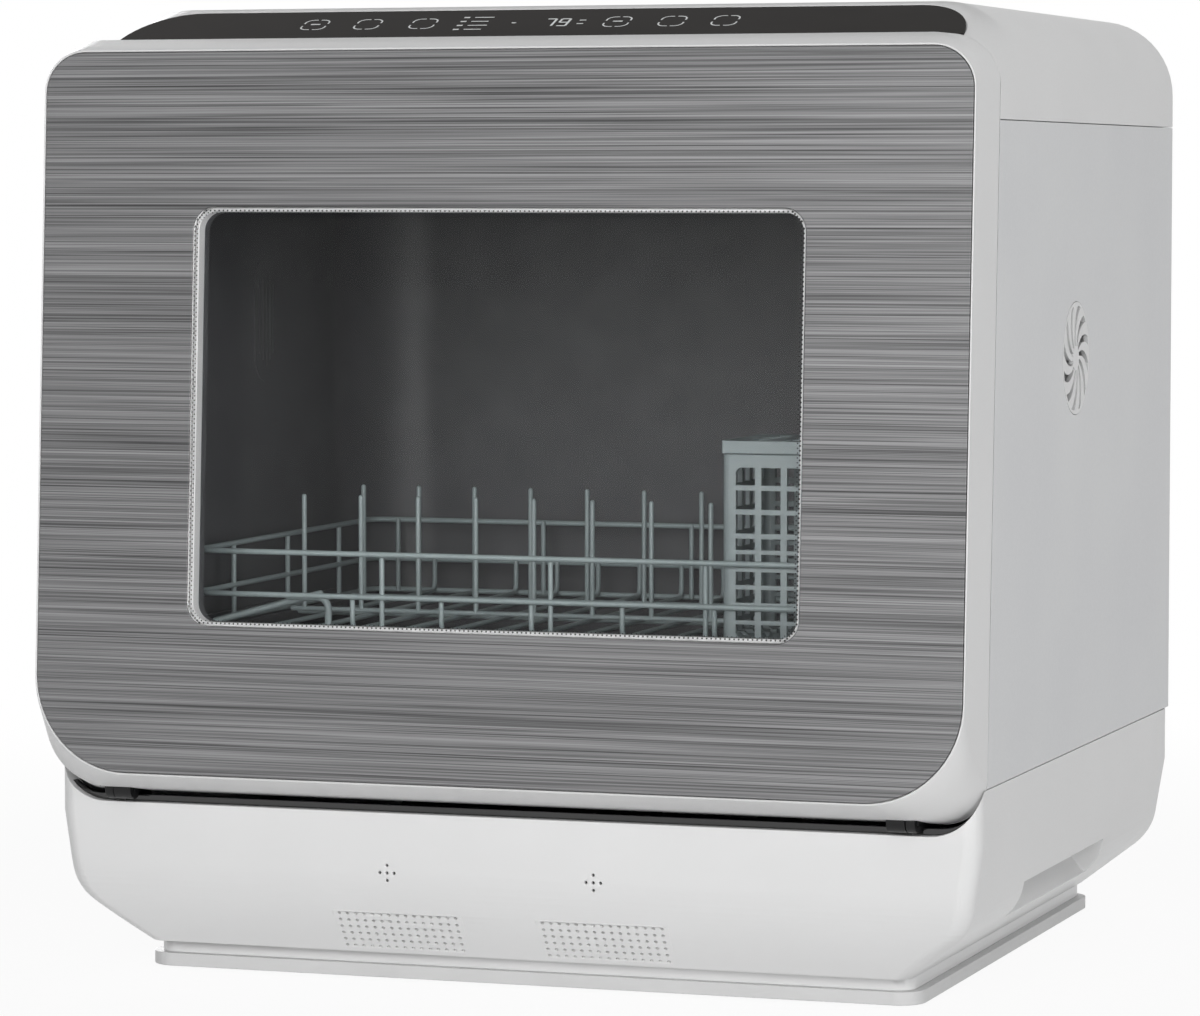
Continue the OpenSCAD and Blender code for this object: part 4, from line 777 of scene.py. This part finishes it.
near_y, far_y = FRONT + BESIDE, BACK - BESIDE
thin = [[(x, near_y, RAIL_HIGH), (x, near_y, FLOOR)] for x in FRONT_POSTS]
thin.append([(OUTER_POST, FRONT, RAIL_HIGH), (OUTER_POST, FRONT, FLOOR)])
thin += [[(x, far_y, RAIL_HIGH), (x, far_y, FLOOR)] for x in BACK_POSTS]
for i in range(-6, 7):
    x = FLOOR_PITCH * i + FLOOR_SHIFT
    turned_up = i % 2 == 0 and abs(i) < 6
    front_end = [(x, near_y, RAIL_LOW)] if turned_up else []
    thin.append(front_end + [(x, near_y, FLOOR), (x, far_y, FLOOR), (x, far_y, RAIL_LOW)])
for y in (FRONT + 30, MIDDLE, BACK - 30):
    thin.append([(-CROSS_END, y, FLOOR - UNDER), (CROSS_END, y, FLOOR - UNDER)])
for side in (-SIDE, SIDE):
    for y in (FRONT + 45, MIDDLE, BACK - 45):
        thin.append([(side, y, RAIL_HIGH), (side, y, FLOOR)])
posts = wires("posts", thin, THIN, BEND_R)

pins = []
for y, count in ((FRONT + 76, 8), (BACK - 68, 11)):
    places = [TINE_X + TINE_PITCH * i for i in range(count)]
    pins.append([(places[0] - OVERHANG, y, FLOOR + OVER), (places[-1] + OVERHANG, y, FLOOR + OVER)])
    pins += [[(x, y, FLOOR + OVER), (x, y, TIP)] for x in places]
tines = wires("tines", pins, THIN, BEND_R)

top = RAIL_LOW - BELOW_RAIL
hook = wires("hook", [[(-127, -100, top), (-108, -100, top), (-108, -100, FLOOR)],
                      [(-161, -104, FLOOR + 1), (-120, -80, top)]], HOOK, BEND_R)

for mesh in (posts, tines, hook):
    joined = bmesh.new()
    joined.from_mesh(rails)
    joined.from_mesh(mesh)
    joined.to_mesh(rails)
    joined.free()
make_piece("wire_rack", rails, wire_coat, "cabinet", ["rack_frame", "rack_grid", "rack_tines"])
print("rack faces:", len(rails.polygons))

# %% [markdown]
# ### Marks on the touch strip
# A touch strip is printed from behind with light marks, one over each key. They are drawn flat in
# millimetres: broken rounded squares for the keys, short bars for the programme list, and two digits such
# as a timer shows. They say nothing in words.

# %% Touch marks
INK_DEPTH = 0.07  # how far the marks lie below the strip's face
marks = bmesh.new()


def stroke(points, width):
    """A flat line of that width through these points of the strip's drawing."""
    points = [Vector(p) for p in points]
    sides = []
    for i, p in enumerate(points):
        along = (points[min(i + 1, len(points) - 1)] - points[max(i - 1, 0)]).normalized()
        across = Vector((-along.y, along.x)) * width / 2
        sides.append([marks.verts.new(on_slope @ mm(q.x, q.y, -INK_DEPTH)) for q in (p - across, p + across)])
    for (a, b), (c, d) in zip(sides, sides[1:]):
        marks.faces.new((a, c, d, b))


def key_ring(x, y, w=11.0, h=12.5, r=3.4, arm=1.4):
    """The four corners of a square with corner radius r and a short arm at each end, and gaps between."""
    quarter = [i * pi / 12 for i in range(7)]
    for sx, sy in ((1, 1), (-1, 1), (-1, -1), (1, -1)):
        cx, cy = x + sx * (w / 2 - r), y + sy * (h / 2 - r)
        bend = [(cx + sx * r * cos(a), cy + sy * r * sin(a)) for a in quarter]
        stroke([(cx + sx * r, cy - sy * arm)] + bend + [(cx - sx * arm, cy + sy * r)], 0.75)


# keys
for x, inner_bar in ((-106, True), (-81, False), (-55, False), (34.5, True), (59.5, False), (83.4, False)):
    key_ring(x, 20)
    if inner_bar:
        stroke([(x - 2.2, 20.6), (x + 2.2, 20.6)], 1.3)
# programme list, and a dash beside it
for row in range(4):
    y = 12 + 5.2 * row
    stroke([(-38.5, y), (-35.8, y)], 1.5)
    stroke([(-33.5, y), (-25.5 + row % 2, y)], 0.9)
stroke([(-14, 20), (-12, 20)], 1.2)
# timer: two digits and two short bars
SEGMENTS = {"top": ((0, 9), (4, 9)), "left_up": ((0, 9), (0, 4.5)), "right_up": ((4, 9), (4, 4.5)),
            "middle": ((0, 4.5), (4, 4.5)), "right_low": ((4, 4.5), (4, 0)), "foot": ((0, 0), (4, 0))}
for x, lit in ((1.5, ("top", "right_up", "right_low")),
               (8.0, ("top", "left_up", "right_up", "middle", "right_low", "foot"))):
    for segment in lit:
        stroke([(x + p[0], 15.5 + p[1]) for p in SEGMENTS[segment]], 1.1)
for y in (18, 22.5):
    stroke([(16.5, y), (19.5, y)], 1.0)
bmesh.ops.recalc_face_normals(marks, faces=marks.faces)
outward = on_slope.to_3x3() @ Vector((0, 0, 1))
for face in marks.faces:
    if face.normal.dot(outward) < 0:
        face.normal_flip()
print("mark faces:", len(marks.faces))
make_piece("touch_marks", marks, pale_ink, "cabinet")

# %% [markdown]
# ### Screws in the back panel
# The back is held by countersunk cross-head screws, and their heads lie just below the sheet. The copy of
# the panel gets a round dimple for each, and one head is modelled and then set in all of them.

# %% Back panel with its screws
FROM_SIDE, FROM_END = 12, 8                    # screws, from the panel's edges
DIMPLE_R, DIMPLE_DEPTH, SEAT = 3.8, 1.2, 0.6   # a screw sits this far below the sheet
BACK_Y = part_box("rear_panel")[1][1]
low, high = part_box("rear_panel")
xs = (low.x * 1000 + FROM_SIDE, 0, high.x * 1000 - FROM_SIDE)
zs = (low.z * 1000 + FROM_END, (low.z + high.z) * 500, high.z * 1000 - FROM_END)
screw_places = [(x, z) for x in xs for z in zs if (x, z) != (0, zs[1])]  # none in the middle


def drill(shape, places, radius_mm, depth_mm):
    """Cuts round dimples into a shape's back and gives back a mesh."""
    target = bpy.data.meshes.new("drilled")
    shape.to_mesh(target)
    shape.free()
    bits = bmesh.new()
    for x, z in places:
        turn = Matrix.Translation((x * MM, BACK_Y, z * MM)) @ Matrix.Rotation(pi / 2, 4, "X")
        bmesh.ops.create_cone(bits, cap_ends=True, segments=32, radius1=radius_mm * MM,
                              radius2=radius_mm * MM, depth=2 * depth_mm * MM, matrix=turn)
    bit_mesh = bpy.data.meshes.new("bits")
    bits.to_mesh(bit_mesh)
    bits.free()
    work, bit = bpy.data.objects.new("work", target), bpy.data.objects.new("bit", bit_mesh)
    for obj in (work, bit):
        scene.collection.objects.link(obj)
    cut = work.modifiers.new("cut", "BOOLEAN")
    cut.object, cut.operation, cut.solver = bit, "DIFFERENCE", "EXACT"
    mesh = bpy.data.meshes.new_from_object(work.evaluated_get(bpy.context.evaluated_depsgraph_get()))
    bpy.data.objects.remove(work)
    bpy.data.objects.remove(bit)
    return mesh


panel = drill(whole_copy("rear_panel"), screw_places, DIMPLE_R, DIMPLE_DEPTH)
make_piece("rear_panel_skin", panel, powder, "cabinet", ["rear_panel"])
print("back panel faces:", len(panel.polygons))

# %% [markdown]
# A head is a low cone with a cross recess. It is drawn once, lying flat, from rings of points. The tree sets
# a copy at each seat and turns each by its own random angle, as screws end up in real life.

# %% Screw heads
RIM, CROWN, SIDES = 3.3, 2.9, 24         # radii of the head below and above
ARM, HALF_SLOT, TAPER = 1.7, 0.45, 0.8   # the cross, and how much narrower it is at its foot
CROWN_Z, MOUTH_Z, FOOT_Z = 0.35, 0.4, -0.5
head = bmesh.new()
around = [(cos(2 * pi * i / SIDES), sin(2 * pi * i / SIDES)) for i in range(SIDES)]
rim = [head.verts.new(mm(RIM * x, RIM * y, 0)) for x, y in around]
crown = [head.verts.new(mm(CROWN * x, CROWN * y, CROWN_Z)) for x, y in around]
corners = [(HALF_SLOT, ARM), (-HALF_SLOT, ARM), (-HALF_SLOT, HALF_SLOT)]
cross = []
for _ in range(4):
    cross += corners
    corners = [(-y, x) for x, y in corners]
mouth = [head.verts.new(mm(x, y, MOUTH_Z)) for x, y in cross]
foot = [head.verts.new(mm(x * TAPER, y * TAPER, FOOT_Z)) for x, y in cross]


def pairs(points):
    """Each point of a ring with the next one."""
    return list(zip(points, points[1:] + points[:1]))


for outer, inner in ((rim, crown), (mouth, foot)):
    for (a, b), (c, d) in zip(pairs(outer), pairs(inner)):
        head.faces.new((a, b, d, c))
head.faces.new(foot)
bmesh.ops.triangle_fill(head, use_beauty=True, edges=[head.edges.get(p) for p in pairs(crown) + pairs(mouth)])
bmesh.ops.recalc_face_normals(head, faces=head.faces)
head_mesh = bpy.data.meshes.new("screw_head")
head.to_mesh(head_mesh)
head.free()
head_obj = bpy.data.objects.new("screw_head", head_mesh)
scene.collection.objects.link(head_obj)

tree, ask = new_tree("screws", Head=head_obj, Metal=stainless)
one_head = add(tree, "GeometryNodeObjectInfo", {"Object": ask["Head"]}).outputs["Geometry"]
seats = add(tree, "GeometryNodeMeshToPoints", {"Mesh": ask["Geometry"]})
turns = add(tree, "FunctionNodeRandomValue", {"Min": (-pi / 2, 0, 0), "Max": (-pi / 2, pi, 0), "Seed": 5},
            data_type="FLOAT_VECTOR")
heads = add(tree, "GeometryNodeInstanceOnPoints", {"Points": seats, "Instance": one_head,
                                                   "Rotation": turns.outputs[0]})
finish_tree(tree, heads, ask["Metal"])
seat_mesh = bpy.data.meshes.new("seats")
seat_mesh.from_pydata([(x * MM, BACK_Y - SEAT * MM, z * MM) for x, z in screw_places], [], [])
mesh = grow(tree, seat_mesh, Head=head_obj, Metal=stainless)
bpy.data.objects.remove(head_obj)
make_piece("back_screws", mesh, stainless, "cabinet")
print("screws:", len(screw_places))
